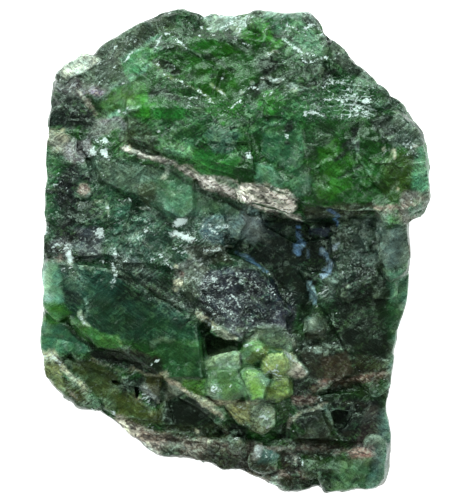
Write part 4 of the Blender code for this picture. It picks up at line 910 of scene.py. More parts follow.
# Where the break is splintered and gleams: strength, outline on the sheet
GLEAMING = [
    (0.7, [(300, 88), (320, 82), (345, 74), (372, 82), (404, 108), (410, 124), (372, 122), (340, 126),
        (304, 120)]),
    (0.6, [(196, 10), (250, 10), (320, 14), (332, 34), (318, 66), (290, 40), (252, 34), (212, 42),
        (196, 34)]),
    (0.5, [(146, 38), (186, 34), (190, 56), (150, 58)]),
    (0.7, [(374, 130), (414, 128), (414, 156), (376, 160)]),
    (0.7, [(84, 132), (116, 134), (116, 164), (86, 166)]),
    (0.25, [(44, 90), (96, 92), (98, 130), (44, 130)]),
    (0.5, [(46, 176), (104, 178), (110, 266), (46, 266)]),
    (0.8, [(100, 212), (200, 210), (232, 216), (236, 250), (200, 276), (100, 272)]),
    (0.9, [(172, 258), (240, 262), (296, 296), (296, 336), (228, 342), (176, 300)]),
    (0.6, [(338, 214), (388, 216), (388, 262), (340, 302), (318, 300)]),
    (0.5, [(196, 306), (240, 330), (244, 346), (200, 330)]),
    (0.5, [(184, 166), (300, 200), (300, 222), (186, 184)]),
    (0.3, [(110, 414), (250, 438), (250, 484), (120, 448)]),
    (0.4, [(206, 345), (262, 338), (308, 372), (292, 432), (228, 420), (206, 400)]),
    (0.4, [(290, 390), (330, 396), (334, 430), (290, 436)]),
    (0.4, [(246, 440), (300, 446), (300, 496), (250, 490)]),
]

# Where the break leans away from the light: strength and outline on the sheet
LEANING_AWAY = [
    (0.8, [(240, 66), (304, 64), (308, 92), (242, 94)]),
    (0.7, [(184, 44), (262, 44), (258, 90), (232, 104), (196, 92)]),
    (0.6, [(92, 90), (150, 90), (150, 116), (94, 118)]),
    (0.5, [(150, 92), (250, 98), (250, 122), (150, 122)]),
    (0.6, [(148, 34), (184, 30), (186, 58), (148, 60)]),
    (0.35, [(334, 124), (412, 120), (412, 150), (334, 150)]),
    (0.4, [(112, 270), (186, 276), (186, 300), (116, 298)]),
    (0.4, [(300, 268), (330, 268), (330, 304), (300, 304)]),
    (0.5, [(330, 270), (362, 270), (362, 300), (330, 300)]),
    (0.6, [(196, 232), (238, 236), (270, 262), (272, 320), (244, 300), (196, 262)]),
]

# Where fine flecks glitter, as painted glints: strength and outline on the sheet
SPARKLING = [
    (0.34, [(202, 16), (246, 14), (252, 26), (240, 36), (210, 40)]),
    (0.32, [(296, 28), (322, 24), (330, 36), (318, 42)]),
    (0.24, [(154, 36), (188, 36), (190, 54), (156, 54)]),
    (0.30, [(276, 54), (306, 54), (310, 66), (284, 70)]),
    (0.22, [(60, 40), (160, 20), (176, 40), (110, 90), (60, 90)]),
    (0.22, [(180, 96), (300, 84), (304, 124), (190, 122)]),
    (0.30, [(86, 132), (114, 136), (114, 162), (88, 162)]),
    (0.25, [(376, 132), (414, 134), (412, 158), (376, 158)]),
    (0.34, [(170, 214), (202, 214), (206, 246), (170, 246)]),
    (0.30, [(46, 236), (80, 236), (84, 260), (50, 262)]),
    (0.24, [(96, 222), (170, 222), (180, 266), (100, 270)]),
    (0.36, [(196, 270), (246, 266), (276, 286), (288, 310), (262, 326), (220, 322), (200, 300)]),
    (0.24, [(338, 220), (380, 222), (376, 270), (340, 290)]),
    (0.26, [(50, 160), (74, 164), (70, 200), (50, 200)]),
]

# Bright glints, painted highlights: width and line on the sheet
GLINTS = [
    (3.0, [(222, 30), (228, 25), (234, 27), (240, 33)]), (2.0, [(206, 19), (222, 19), (238, 18)]),
    (3.0, [(240, 24), (248, 27)]), (1.6, [(156, 50), (160, 42), (170, 38)]),
    (1.6, [(174, 40), (182, 46), (185, 52)]), (3.0, [(302, 15), (312, 18)]),
    (2.2, [(287, 27), (298, 33), (306, 36)]), (2.0, [(302, 30), (312, 27), (318, 32)]),
    (2.0, [(282, 42), (292, 48), (302, 56)]), (2.4, [(303, 66), (315, 63), (324, 61)]),
    (2.0, [(300, 58), (312, 56)]), (2.0, [(266, 57), (272, 53)]), (2.0, [(262, 81), (272, 83), (282, 82)]),
    (1.2, [(155, 66), (165, 76), (178, 84), (190, 88), (200, 93), (214, 103)]),
    (2.2, [(210, 99), (213, 104)]), (1.6, [(216, 90), (222, 95)]), (1.4, [(244, 46), (252, 50)]),
    (1.4, [(198, 92), (206, 96)]), (1.0, [(100, 84), (118, 68), (136, 54)]),
    (1.0, [(112, 58), (124, 48), (142, 40)]), (1.2, [(112, 116), (126, 112), (140, 108)]),
    (1.2, [(240, 96), (252, 90), (264, 88)]), (1.2, [(262, 100), (272, 96)]),
    (1.2, [(230, 110), (240, 104)]), (1.2, [(190, 104), (200, 100)]),
    # the rippled face
    (1.6, [(340, 100), (352, 97), (364, 100)]), (1.8, [(348, 107), (358, 104), (366, 108)]),
    (1.8, [(348, 114), (358, 111), (366, 115)]), (1.4, [(342, 120), (354, 118), (362, 120)]),
    (2.0, [(322, 88), (332, 85), (344, 87)]), (2.0, [(322, 104), (332, 101), (340, 104)]),
    (2.0, [(304, 116), (314, 113), (322, 116)]), (2.0, [(402, 147), (410, 147)]),
    # left of the middle
    (3.6, [(172, 233), (182, 236), (190, 241)]), (2.0, [(188, 240), (194, 240)]),
    (3.4, [(176, 224), (186, 219)]), (3.6, [(71, 252), (73, 262)]), (1.8, [(108, 203), (109, 217)]),
    (2.0, [(141, 208), (150, 208)]), (2.2, [(116, 268), (117, 276), (113, 283)]),
    (2.0, [(218, 227), (228, 226)]), (2.0, [(206, 250), (220, 250)]), (2.0, [(188, 248), (193, 256)]),
    (2.2, [(138, 240), (142, 236)]), (2.0, [(120, 262), (128, 262)]), (3.0, [(54, 244), (62, 248)]),
    (2.0, [(60, 252), (68, 250)]), (2.0, [(46, 232), (52, 228)]), (2.0, [(176, 246), (184, 250)]),
    (2.4, [(209, 232), (218, 234)]), (1.8, [(164, 262), (172, 268)]),
    # the glitter below the recess
    (2.0, [(216, 278), (224, 288)]), (2.0, [(232, 296), (240, 306)]), (2.0, [(222, 308), (230, 318)]),
    # the lower left
    (2.4, [(82, 315), (88, 323)]), (1.8, [(86, 302), (90, 308)]), (3.0, [(40, 354), (50, 354)]),
    (2.0, [(54, 354), (62, 364)]), (2.4, [(140, 389), (147, 394)]), (2.0, [(142, 397), (148, 400)]),
    (2.0, [(153, 362), (160, 360)]), (1.6, [(206, 318), (214, 326)]), (2.4, [(201, 315), (206, 320)]),
    # the chips
    (1.6, [(244, 345), (252, 342), (260, 344)]), (1.4, [(264, 372), (272, 372), (280, 374)]),
    (1.6, [(284, 352), (294, 358)]), (1.6, [(296, 360), (306, 371)]), (1.4, [(268, 362), (270, 368)]),
    (1.4, [(276, 364), (278, 370)]), (2.2, [(213, 385), (218, 388)]), (1.4, [(262, 406), (268, 410)]),
    (1.6, [(257, 416), (266, 417)]), (2.0, [(315, 397), (320, 399)]), (1.4, [(308, 350), (316, 348)]),
    # the foot
    (3.0, [(258, 445), (257, 456)]), (1.6, [(266, 452), (274, 454)]), (2.0, [(270, 480), (280, 490)]),
    (1.6, [(298, 456), (304, 462)]), (1.6, [(122, 422), (132, 426)]), (1.6, [(146, 442), (152, 448)]),
]

# Small splinters painted with white highlights: strength and outline on the sheet
WHITE_PLACES = [
    (1.25, [(174, 222), (180, 218), (187, 218), (187, 222), (181, 225), (176, 225)]),
    (1.25, [(170, 232), (176, 230), (184, 234), (191, 238), (190, 241), (184, 240), (176, 235)]),
    (1.05, [(98, 228), (103, 226), (107, 232), (104, 239), (99, 235)]),
    (1.20, [(69, 252), (73, 251), (75, 257), (75, 264), (71, 262)]),
    (0.46, [(338, 98), (350, 92), (364, 98), (370, 108), (366, 118), (346, 118), (340, 108)]),
    (1.10, [(90, 152), (96, 151), (98, 156), (93, 159)]),
    (1.10, [(102, 150), (108, 151), (111, 157), (105, 161), (101, 156)]),
]

# Small spots, by colour: middle and radius on the sheet. The white ones are painted glints
SPOTS = {
    (240, 244, 240): [(93, 155, 4.0), (104, 154, 4.5), (108, 158, 3.5), (100, 144, 2.5), (107, 141, 2.5),
        (53, 143, 2.5), (130, 148, 2.6), (64, 92, 2.2), (248, 157, 4.5), (285, 137, 3.0), (101, 232, 4.5),
        (102, 238, 2.5), (97, 229, 2.0), (147, 229, 2.8), (178, 222, 4.0), (184, 221, 3.6), (161, 257, 2.8),
        (151, 260, 2.4), (115, 250, 1.8), (117, 256, 2.2), (128, 253, 1.8), (58, 183, 1.6), (50, 189, 2.2),
        (113, 263, 1.8), (101, 262, 1.6), (258, 219, 2.6), (371, 242, 2.4), (317, 397, 2.4),
        (114, 410, 3.0), (248, 218, 1.6), (321, 38, 3.0), (328, 35, 3.0), (210, 226, 1.8), (94, 409, 1.6),
        (131, 202, 1.6), (366, 104, 2.0), (348, 92, 2.0), (340, 120, 2.0), (352, 119, 1.8), (314, 114, 2.8),
        (304, 118, 2.0), (250, 22, 3.4), (246, 18, 3.0), (215, 386, 2.6), (230, 385, 2.0), (267, 368, 2.2),
        (273, 368, 2.0), (246, 344, 2.0), (258, 347, 2.0), (264, 415, 1.8), (286, 348, 1.8),
        (266, 454, 2.0), (270, 272, 1.6), (312, 272, 1.4), (60, 243, 1.6), (66, 246, 1.4), (72, 250, 1.6),
        (340, 403, 1.5), (222, 81, 1.6), (174, 69, 1.4), (202, 30, 2.2), (209, 32, 2.2), (199, 40, 1.8)],
    (214, 208, 178): [(391, 154, 2.0), (391, 159, 1.6), (380, 152, 1.6), (180, 283, 4.5), (177, 266, 2.4),
        (176, 290, 2.4), (210, 441, 2.6), (197, 430, 2.0), (204, 402, 2.2), (132, 150, 2.2),
        (128, 428, 2.6), (206, 318, 3.0), (395, 190, 1.6), (246, 193, 2.0), (262, 192, 2.0), (58, 136, 3.0),
        (64, 134, 2.6), (70, 138, 2.2), (150, 442, 2.0)],
    (160, 178, 165): [(90, 195, 3.4), (316, 349, 3.6), (325, 350, 3.6), (195, 262, 3.0), (190, 272, 2.6),
        (152, 246, 2.6), (146, 242, 2.2), (346, 232, 3.0), (354, 222, 3.0), (376, 248, 3.0),
        (362, 236, 2.6), (366, 262, 3.0), (354, 252, 3.0), (334, 282, 2.6), (346, 284, 3.0),
        (310, 320, 3.0), (72, 66, 3.0), (84, 62, 3.0), (184, 152, 2.0), (240, 96, 2.6), (262, 88, 3.0),
        (252, 86, 2.4), (356, 224, 2.2), (292, 91, 4.4)],
    (120, 96, 88): [(86, 190, 6.0), (184, 275, 3.0), (62, 258, 3.0), (324, 384, 3.0)],
    (20, 24, 30): [(152, 401, 3.4), (341, 415, 4.0), (244, 332, 3.6), (287, 131, 4.0), (286, 144, 3.0),
        (215, 123, 2.4), (353, 132, 3.0), (368, 225, 3.0), (350, 242, 2.4), (336, 236, 3.0),
        (360, 252, 2.0), (244, 160, 2.0)],
}


head = sheet.patch(HEAD, soft=10, ragged=8)
ledge = sheet.patch(LEDGE, soft=8, ragged=10)
glitter = sheet.patch(GLITTER, soft=14, ragged=14)
glass = sheet.patch(GLASS, soft=8, ragged=4)
nest = sheet.patch(NEST, soft=8, ragged=6)
left_rough = sheet.patch(LEFT_ROUGH, soft=16, ragged=12)
right_rough = sheet.patch(RIGHT_ROUGH, soft=12, ragged=10)
strata = sheet.patch(STRATA, soft=10, ragged=6)


def facets(points, size, lump, seed):
    """Smooth lumps broken into flat facets, from -1 to 1."""
    away, _, _ = flakes(points, size, seed)
    middle = points - away
    height = cloud(middle, lump, seed + 5)
    total = height
    for axis in range(3):
        step = np.zeros(3)
        step[axis] = 0.1 * lump
        total = total + away[:, axis] * (cloud(middle + step, lump, seed + 5) - height) / (0.1 * lump)
    return total


def waves(along, length):
    return np.sin(along * math.tau / length)


broad = facets(turned(places, -24, stretch=1.8), size=2.6, lump=5.0, seed=11)
middling = facets(turned(places, 18, stretch=1.6), size=1.2, lump=2.3, seed=23)
small = facets(turned(places, -10, stretch=1.3), size=0.55, lump=1.0, seed=37)
_, pebble_border, _ = flakes(places, size=1.15, seed=53)
pebbles = np.sqrt(np.clip(pebble_border, 0.0, 0.6)) * 0.35
across, up, _ = places.T
ripples = waves(up + 0.35 * across + 1.1 * cloud(places, size=3.0, seed=71), 0.85)
layers = waves(up + 0.12 * across + 0.5 * cloud(places, size=4.0, seed=73), 1.3)
hackles = np.abs(cloud(turned(places, 28, stretch=5.0), size=0.55, seed=75))

# Glassy breaks and the sides are plain; the rest is broken up, each kind to its own height in millimetres
BROAD_HEIGHT, MIDDLING_HEIGHT, HACKLE_HEIGHT, RIPPLE_HEIGHT, LAYER_HEIGHT = 0.55, 0.34, 0.06, 0.11, 0.07
CRACK_DEPTH, SEAM_HEIGHT = 0.10, 0.22
DEEPEST, HIGHEST = -0.8, 0.6
DARK_LINE, EARTH_LINE = 150, 330  # the sum of a colour's three parts
rest = smooth_step(0.4, 1.6, places[:, 2])
plain = np.maximum(glass * 0.85 + nest * 0.6 * (1 - glass), 0.55 * (1 - front))
flat_places = [(0.8, outline) for outline in FLAT_PLACES]
flat_panes = [(0.85 * strength, outline) for _, strength, outline in PANES]
plain = np.maximum(plain, sheet.strongest(flat_places, soft=8, ragged=5))
plain = np.maximum(plain, sheet.strongest(flat_panes, soft=2, ragged=2))
small_height = 0.05 + 0.20 * glitter + 0.20 * ledge + 0.16 * left_rough + 0.08 * strata + 0.07 * head
relief = BROAD_HEIGHT * (1 - 0.9 * plain) * broad
relief += MIDDLING_HEIGHT * (1 - plain) * middling
relief += small_height * (1 - plain) * small
relief += right_rough * pebbles
hackled = head * smooth_step(-0.3, 0.4, cloud(places, size=4.0, seed=76))
relief += HACKLE_HEIGHT * hackled * (0.3 - hackles)
relief += RIPPLE_HEIGHT * sheet.patch(RIPPLED, soft=14, ragged=6) * ripples
relief += LAYER_HEIGHT * strata * np.sign(layers)
for colour, strength, width, line in LINES:
    if sum(colour) < DARK_LINE:
        relief -= CRACK_DEPTH * strength * front * sheet.stroke(line, width, soft=3.0, ragged=4.0)
    elif colour[0] > colour[1] + 6 and sum(colour) > EARTH_LINE:
        relief += SEAM_HEIGHT * strength * front * sheet.stroke(line, width, soft=3.0, ragged=4.0)
relief = np.clip(relief, DEEPEST, HIGHEST) * rest * (0.6 + 0.4 * front)
rim = 1 - smooth_step(0.55, 0.95, sheet.patch(RIM, soft=26, ragged=0))
relief = relief * (1 - 0.3 * rim)
moved = places + normals * relief[:, None]

# The blocks of the nest stand close together, with flat tops at their own heights
high_up = smooth_step(9.0, 11.0, places[:, 2])
evened = calmed(body, places, rounds=90)[:, 2]
moved[:, 2] += nest * high_up * 0.8 * np.clip(evened - places[:, 2] + 0.1, 0.0, 2.0)
for outline in LEVELLED:
    level = high_up * sheet.patch(outline, soft=14, ragged=4)
    moved[:, 2] += 0.95 * level * (evened - 0.1 + 0.12 * middling - moved[:, 2])
for height, across, up, outline in CHIPS:
    middle = np.mean(outline, 0)
    top = evened + 0.5 * height - 0.20
    top = top + across * (sheet.x - middle[0]) / SHEET_UNITS - up * (sheet.y - middle[1]) / SHEET_UNITS
    top += 0.16 * small + 0.10 * middling
    spread_out = depth_inside(sheet.x, sheet.y, outline) + 1.2 * sheet.ragged[:, 0]
    moved[:, 2] += high_up * smooth_step(-2.4, -0.8, spread_out) * (top - moved[:, 2])

# The rim stands out to the stone's widest line. The wall draws in below it, so it doesn't show from above
depth = depth_inside(places[:, 0], places[:, 1], GIRDLE)
depth = np.clip(depth, -1.0, 3.0)
wall = smooth_step(3.0, 2.2, depth) * smooth_step(0.55, 0.2, np.abs(normals[:, 2]))
near_wall = np.column_stack([normals[:, :2] * wall[:, None], wall, depth * wall])
spread = calmed(body, near_wall, rounds=14)
outward = spread[:, :2] / (np.linalg.norm(spread[:, :2], axis=1)[:, None] + 1e-6)
outward *= smooth_step(0.0, 0.3, spread[:, 2])[:, None]
room = spread[:, 3] / (spread[:, 2] + 1e-6) - np.interp(places[:, 2], WALL_HEIGHTS, WALL_DEPTHS)
pushed = np.clip(((moved - places)[:, :2] * outward).sum(1), 0.0, None)
DEEPEST_GROOVE, HIGHEST_RIDGE = -0.3, 0.05
upright_places = places * np.array((1.0, 1.0, 0.10))
grooves = 0.30 * facets(upright_places, size=1.2, lump=2.3, seed=23)
grooves += 0.50 * facets(upright_places, size=0.55, lump=1.0, seed=37)
notches = np.clip(0.36 * grooves - 0.01, DEEPEST_GROOVE, HIGHEST_RIDGE)
notches *= smooth_step(4.0, 10.0, places[:, 2])
moved[:, :2] += outward * (np.clip(room, -1.0, 1.3) - 0.9 * pushed + notches)[:, None]
low, high = np.array(cad_box[0]) / MM, np.array(cad_box[1]) / MM
moved = np.clip(moved, low, high)
body.vertices.foreach_set("co", (moved * MM).ravel())
body.update()

# The sides and the back take fewer triangles than the front
FINENESS_LEVELS = 5
keep = stone.vertex_groups.new(name="keep_fine")
for level in range(FINENESS_LEVELS):
    chosen = np.nonzero((front * (FINENESS_LEVELS - 1)).round().astype(int) == level)[0]
    keep.add(chosen.tolist(), 1.0 - level * 0.22, "REPLACE")
share = MOST_TRIANGLES / sum(len(face.vertices) - 2 for face in body.polygons)
body = apply_modifier(stone, "DECIMATE", decimate_type="COLLAPSE", ratio=share, vertex_group="keep_fine",
                      vertex_group_factor=1.0)
CREASE_DEGREES = 26
body.shade_smooth()
body.set_sharp_from_angle(angle=math.radians(CREASE_DEGREES))
stone.vertex_groups.clear()

# The stone's colours, laid mark by mark on the final vertices


def linear(colour):
    """A screen colour, 0 to 255, as light."""
    share = np.array(colour, float) / 255.0
    return np.where(share <= 0.04045, share / 12.92, ((share + 0.055) / 1.055) ** 2.4)


places = vertex_values(body, "co") / MM
normals = calmed(body, vertex_values(body, "normal"), rounds=24)
normals /= np.linalg.norm(normals, axis=1)[:, None]
sheet = Sheet(places)
front = smooth_step(0.10, 0.36, normals[:, 2]) * smooth_step(9.0, 13.0, places[:, 2])

# The sides and the back: dark green glass with paler fracture, mint along its edges, brown layers below
DEEP_GREEN, SIDE_GREEN, PALE_GREEN, MINT = (12, 34, 14), (28, 76, 30), (54, 112, 54), (104, 158, 114)
BROWN, PALE_BROWN, OLIVE = (62, 50, 40), (140, 124, 104), (70, 88, 36)


def lay(tone, colour, mark):
    return tone + (linear(colour) - tone) * mark[:, None]


tone = np.tile(linear(SIDE_GREEN), (len(places), 1))
lumps = clouds(places, size=7.0, seed=401)
tone = lay(tone, DEEP_GREEN, smooth_step(0.0, 0.35, clouds(places, size=5.0, seed=403)))
_, seams, own = flakes(turned(places, 70, stretch=1.8), size=4.2, seed=421)
_, fine_seams, fine_own = flakes(turned(places, -35, stretch=1.6), size=1.5, seed=423)
tone = lay(tone, PALE_GREEN, 0.7 * smooth_step(0.60, 0.64, own[:, 0]))
tone = lay(tone, MINT, 0.35 * smooth_step(0.80, 0.84, fine_own[:, 0]) * smooth_step(0.5, 0.7, own[:, 1]))
tone = tone * ((0.60 + 0.75 * own[:, 2]) * (0.72 + 0.5 * fine_own[:, 1]))[:, None]
striped = cloud(places * np.array((1.0, 0.10, 1.0)), size=0.55, seed=425)
tone = tone * (1.0 + 0.5 * striped * (0.4 + 0.6 * smooth_step(0.35, 0.65, own[:, 3])))[:, None]
tone = lay(tone, DEEP_GREEN, 0.8 * smooth_step(0.22, 0.05, seams))
tone = lay(tone, MINT, 0.5 * smooth_step(0.12, 0.03, fine_seams) * smooth_step(0.55, 0.75, fine_own[:, 2]))
low_part = smooth_step(-11.0, -17.0, places[:, 1] + 2.0 * lumps)
layer_level = places[:, 1] + 0.3 * places[:, 2] + 1.2 * cloud(places, size=4.0, seed=409)
layering = 0.5 + 0.5 * waves(layer_level, 3.2)
tone = lay(tone, OLIVE, 0.7 * low_part * (1 - layering))
tone = lay(tone, BROWN, 0.85 * low_part * smooth_step(0.4, 0.8, layering))
broken_off = smooth_step(-0.2, 0.3, clouds(places, size=1.5, seed=429))
tone = lay(tone, PALE_BROWN, 0.5 * low_part * smooth_step(0.93, 1.0, layering) * broken_off)
# Faces that turn downwards are painted darker: painted shade on the underside
tone = tone * (1.0 - 0.35 * smooth_step(-0.1, -0.4, normals[:, 2]))[:, None]
side_tone = tone

# The front: areas, panes, washes, lines and spots, one upon the other
FRONT_GREEN = (40, 76, 38)
PALE_LINE, UNBROKEN_DARK = 150, 110  # the sum of a colour's three parts
THIN_LINE, BROAD_LINE = 3.0, 9.0
tone = np.tile(linear(FRONT_GREEN), (len(places), 1))
for colour, strength, outline in AREAS:
    wide = math.sqrt(np.prod(np.ptp(outline, axis=0) + 1.0))
    soft, ragged = min(max(0.10 * wide, 2.0), 7.0), min(max(0.16 * wide, 2.0), 6.0)
    tone = lay(tone, colour, strength * sheet.patch(outline, soft, ragged))
for colour, strength, outline in PANES:
    tone = lay(tone, colour, strength * sheet.patch(outline, soft=1.6, ragged=1.6))
upright = cloud(places * np.array((1.0, 0.12, 1.0)), size=0.42, seed=427)
tone = tone * (1.0 + 0.55 * upright * sheet.patch(FIBRES, soft=4, ragged=3))[:, None]
# The washes lay the stone's tone together with painted light and shade
for shares, outline in WASHES:
    tone = tone * (1 + (np.array(shares) - 1) * sheet.patch(outline, soft=16.0, ragged=12.0)[:, None])
broken_up = 0.25 + 0.75 * smooth_step(-0.25, 0.15, clouds(places, size=0.9, seed=411))
for colour, strength, width, line in LINES:
    gaps = 0.4 + 0.6 * broken_up
    if width < THIN_LINE and sum(colour) > PALE_LINE:
        gaps = broken_up
    elif width > BROAD_LINE or sum(colour) < UNBROKEN_DARK:
        gaps = 1.0
    tone = lay(tone, colour, strength * gaps * sheet.stroke(line, width, soft=1.4, ragged=4.0))
# The painted glints: white spots, glint lines, white places and glittering stretches, all on the front
glint = np.zeros(len(places))
for colour, spots in SPOTS.items():
    for x, y, radius in spots:
        dot = [(x, y), (x + 0.1, y)]
        # White spots are painted glints, laid with the glint lines
        if min(colour) > 200:
            white_dot = sheet.stroke(dot, 1.5 * radius, soft=1.5 * radius, ragged=4.0)
            glint = np.maximum(glint, 1.10 * white_dot)
        else:
            tone = lay(tone, colour, 0.9 * sheet.stroke(dot, 2 * radius, soft=1.4, ragged=4.0))
for width, line in GLINTS:
    white_line = sheet.stroke(line, 1.3 * width + 1.2, soft=1.2 * width, ragged=5.0)
    glint = np.maximum(glint, 0.62 * white_line)
glint = np.maximum(glint, sheet.strongest(WHITE_PLACES, soft=1.8, ragged=3.0))
flecks = 0.75 + 0.5 * clouds(places, size=1.3, seed=413)
glint = np.maximum(glint, sheet.strongest(SPARKLING, soft=8.0, ragged=8.0) * flecks)
glint *= front
tone = side_tone + (tone - side_tone) * front[:, None]

# The gloss of the glass adds its own light, so that the colour beneath it is deeper
GLOSS_SHARE = 0.012
tone = np.maximum(tone - GLOSS_SHARE, 0.35 * tone)

# Painted light and shade: edges that stand out get a painted highlight, and hollows are painted darker as
# painted shade
EDGE_HIGHLIGHT = (150, 178, 152)
edge_of_view = 1 - smooth_step(0.5, 0.9, sheet.patch(RIM, soft=20, ragged=0))
lift = ((places - calmed(body, places, rounds=5)) * vertex_values(body, "normal")).sum(1)
tone = lay(tone, EDGE_HIGHLIGHT, 0.26 * smooth_step(0.04, 0.14, lift) * (1 - 0.8 * edge_of_view))
tone = tone * (1 - 0.25 * smooth_step(0.04, 0.16, -lift))[:, None]

# Frost is where pale flecks lie thick, crust is where earth hides the glass
bright = tone @ np.array([0.3, 0.6, 0.1])
grey = 1.0 - (tone.max(1) - tone.min(1)) / (tone.max(1) + 0.02)
frost = (np.clip(grey * 1.3 - 0.25, 0, 1) * smooth_step(0.012, 0.07, bright))[:, None]
crust = smooth_step(0.0, 0.06, tone[:, 0] - tone[:, 1] + 0.01 * (bright > 0.05))[:, None]
frost, crust = calmed(body, frost, rounds=2)[:, 0], calmed(body, crust, rounds=2)[:, 0]

SIDE_POLISH, SIDE_GLEAM = 1.20, 0.10
CURVED_FLAKES = [(334, 96), (352, 88), (370, 98), (374, 122), (342, 124), (330, 110)]
glassy_panes = [(strength, outline) for _, strength, outline in PANES]
polished_panes = sheet.strongest(glassy_panes, soft=1.6, ragged=1.6)
polish = np.maximum(sheet.strongest(POLISHED, soft=8.0, ragged=5.0), polished_panes)
polish = SIDE_POLISH + (polish - SIDE_POLISH) * front
frost *= 0.45 + 0.55 * front
gleam = SIDE_GLEAM + (sheet.strongest(GLEAMING, soft=12.0, ragged=10.0) - SIDE_GLEAM) * front
away_from_light = sheet.strongest(LEANING_AWAY, soft=14.0, ragged=10.0) * front
rippled = sheet.patch(RIPPLED, soft=10, ragged=8) * front
rippled *= 0.5 + 0.5 * sheet.patch(CURVED_FLAKES, soft=16, ragged=8)

tone_layer = body.attributes.new("tone", "FLOAT_COLOR", "POINT")
tone_layer.data.foreach_set("color", np.column_stack([tone, np.ones(len(tone))]).ravel())
for name, values in (("frost", frost), ("crust", crust), ("glint", glint), ("polish", polish),
                     ("gleam", gleam), ("rippled", rippled), ("away_from_light", away_from_light)):
    body.attributes.new(name, "FLOAT", "POINT").data.foreach_set("value", values)

# The stone's finish: green glass with absorption, broken into flecks, under earth in the seams


class Look:
    """A socket of a finish. Sums on it add Math nodes."""

    tree = None

    def __init__(self, socket):
        self.socket = socket

    @classmethod
    def node(cls, kind, settings, sockets, output=0):
        """Any node: its type, its settings, and the values or links of its sockets."""
        made = cls.tree.nodes.new("ShaderNode" + kind)
        for name, value in settings.items():
            setattr(made, name, value)
        for name, value in sockets.items():
            if isinstance(value, Look):
                cls.tree.links.new(value.socket, made.inputs[name])
            else:
                made.inputs[name].default_value = value
        return cls(made.outputs[output])

    def maths(self, operation, other):
        return Look.node("Math", {"operation": operation}, {0: self, 1: other})

    def __add__(self, other):
        return self.maths("ADD", other)

    __radd__ = __add__

    def __mul__(self, other):
        return self.maths("MULTIPLY", other)

    __rmul__ = __mul__

    def __sub__(self, other):
        return self.maths("SUBTRACT", other)

    def __rsub__(self, other):
        return Look.node("Math", {"operation": "SUBTRACT"}, {0: other, 1: self})

    def ramp(self, low, high):
        """0 below low and 1 above high."""
        return Look.node("MapRange", {"interpolation_type": "SMOOTHSTEP"},
                         {"Value": self, "From Min": low, "From Max": high})


def blend(first, second, share, kind="MIX"):
    """Two colours through a Mix node."""
    return Look.node("Mix", {"data_type": "RGBA", "blend_type": kind}, {0: share, 6: first, 7: second}, 2)


def vector_maths(operation, first, second):
    return Look.node("VectorMath", {"operation": operation}, {0: first, 1: second})


def scaled(vector, amount):
    return Look.node("VectorMath", {"operation": "SCALE"}, {0: vector, "Scale": amount})


def summed(first, second):
    return vector_maths("ADD", first, second)


def straightened(vector):
    return Look.node("VectorMath", {"operation": "NORMALIZE"}, {0: vector})


def painted(name, output="Fac"):
    """What was laid on the vertices under a name."""
    return Look.node("Attribute", {"attribute_name": name}, {}, output)


material = bpy.data.materials.new("peridot")
material.use_nodes = True
Look.tree = material.node_tree
Look.tree.nodes.clear()

in_mm = scaled(Look.node("TexCoord", {}, {}, "Object"), 1.0 / MM)
stir = Look.node("TexNoise", {}, {"Vector": in_mm, "Scale": 1.3, "Detail": 3.0}, "Color")
tone_look = painted("tone", "Color")
frost_look, crust_look, glint_look, polish_look, gleam_look, rippled_look, away_look = (
    painted(name) for name in ("frost", "crust", "glint", "polish", "gleam", "rippled", "away_from_light"))


def drawn_out(degrees, stretch, stirring=0.4):
    """Places in the stone, drawn out along a line that is turned in the front's plane."""
    return Look.node("Mapping", {"vector_type": "TEXTURE"}, {
        "Vector": summed(in_mm, scaled(stir, stirring)),
        "Rotation": (0, 0, math.radians(degrees)),
        "Scale": (stretch, 1.0, 1.3)})


def noise(vector, scale, detail, roughness=0.6):
    return Look.node("TexNoise", {}, {
        "Vector": vector, "Scale": scale, "Detail": detail, "Roughness": roughness}, "Fac")


def cells(vector, scale, output="Color"):
    return Look.node("TexVoronoi", {}, {"Vector": vector, "Scale": scale}, output)


def borders(vector, scale):
    """How far the cell's border lies."""
    feature = {"feature": "DISTANCE_TO_EDGE"}
    return Look.node("TexVoronoi", feature, {"Vector": vector, "Scale": scale}, "Distance")


def leaning(colour):
    """The way that each cell leans."""
    return vector_maths("SUBTRACT", colour, (0.5, 0.5, 0.5))


def shading(vector, scale):
    """From -1 to 1, each cell shaded from one side to the other."""
    from_middle = vector_maths("SUBTRACT", vector, cells(vector, scale, "Position"))
    slope = Look.node("VectorMath", {"operation": "DOT_PRODUCT"}, {
        0: leaning(cells(vector, scale)), 1: from_middle}, "Value")
    return slope * (3.0 * scale)


def channel(colour, name):
    return Look.node("SeparateColor", {}, {"Color": colour}, name)


# Fibres, streaks and cracks run up to the right in some stretches and down to the right in others
rising, falling = drawn_out(34, 2.6), drawn_out(-24, 2.2)
coarse = noise(in_mm, 0.55, 2.0)
which_way = coarse.ramp(0.47, 0.55)
rising_fibre = noise(drawn_out(36, 5.0, 0.25), 4.8, 3.0, 0.66)
falling_fibre = noise(drawn_out(-36, 5.0, 0.25), 4.6, 3.0, 0.66)
fibre = rising_fibre + (falling_fibre - rising_fibre) * which_way
rising_streak = noise(drawn_out(38, 9.0, 0.15), 3.6, 3.0, 0.6)
falling_streak = noise(drawn_out(-40, 9.0, 0.15), 3.6, 3.0, 0.6)
streak = rising_streak + (falling_streak - rising_streak) * which_way
grain = noise(in_mm, 5.0, 3.0, 0.7)
facet = cells(drawn_out(30, 1.7), 0.95)
chips = cells(falling, 2.9)
fine_chips = cells(rising, 6.0)
cracks = borders(rising, 0.7)
edges = borders(falling, 1.7)
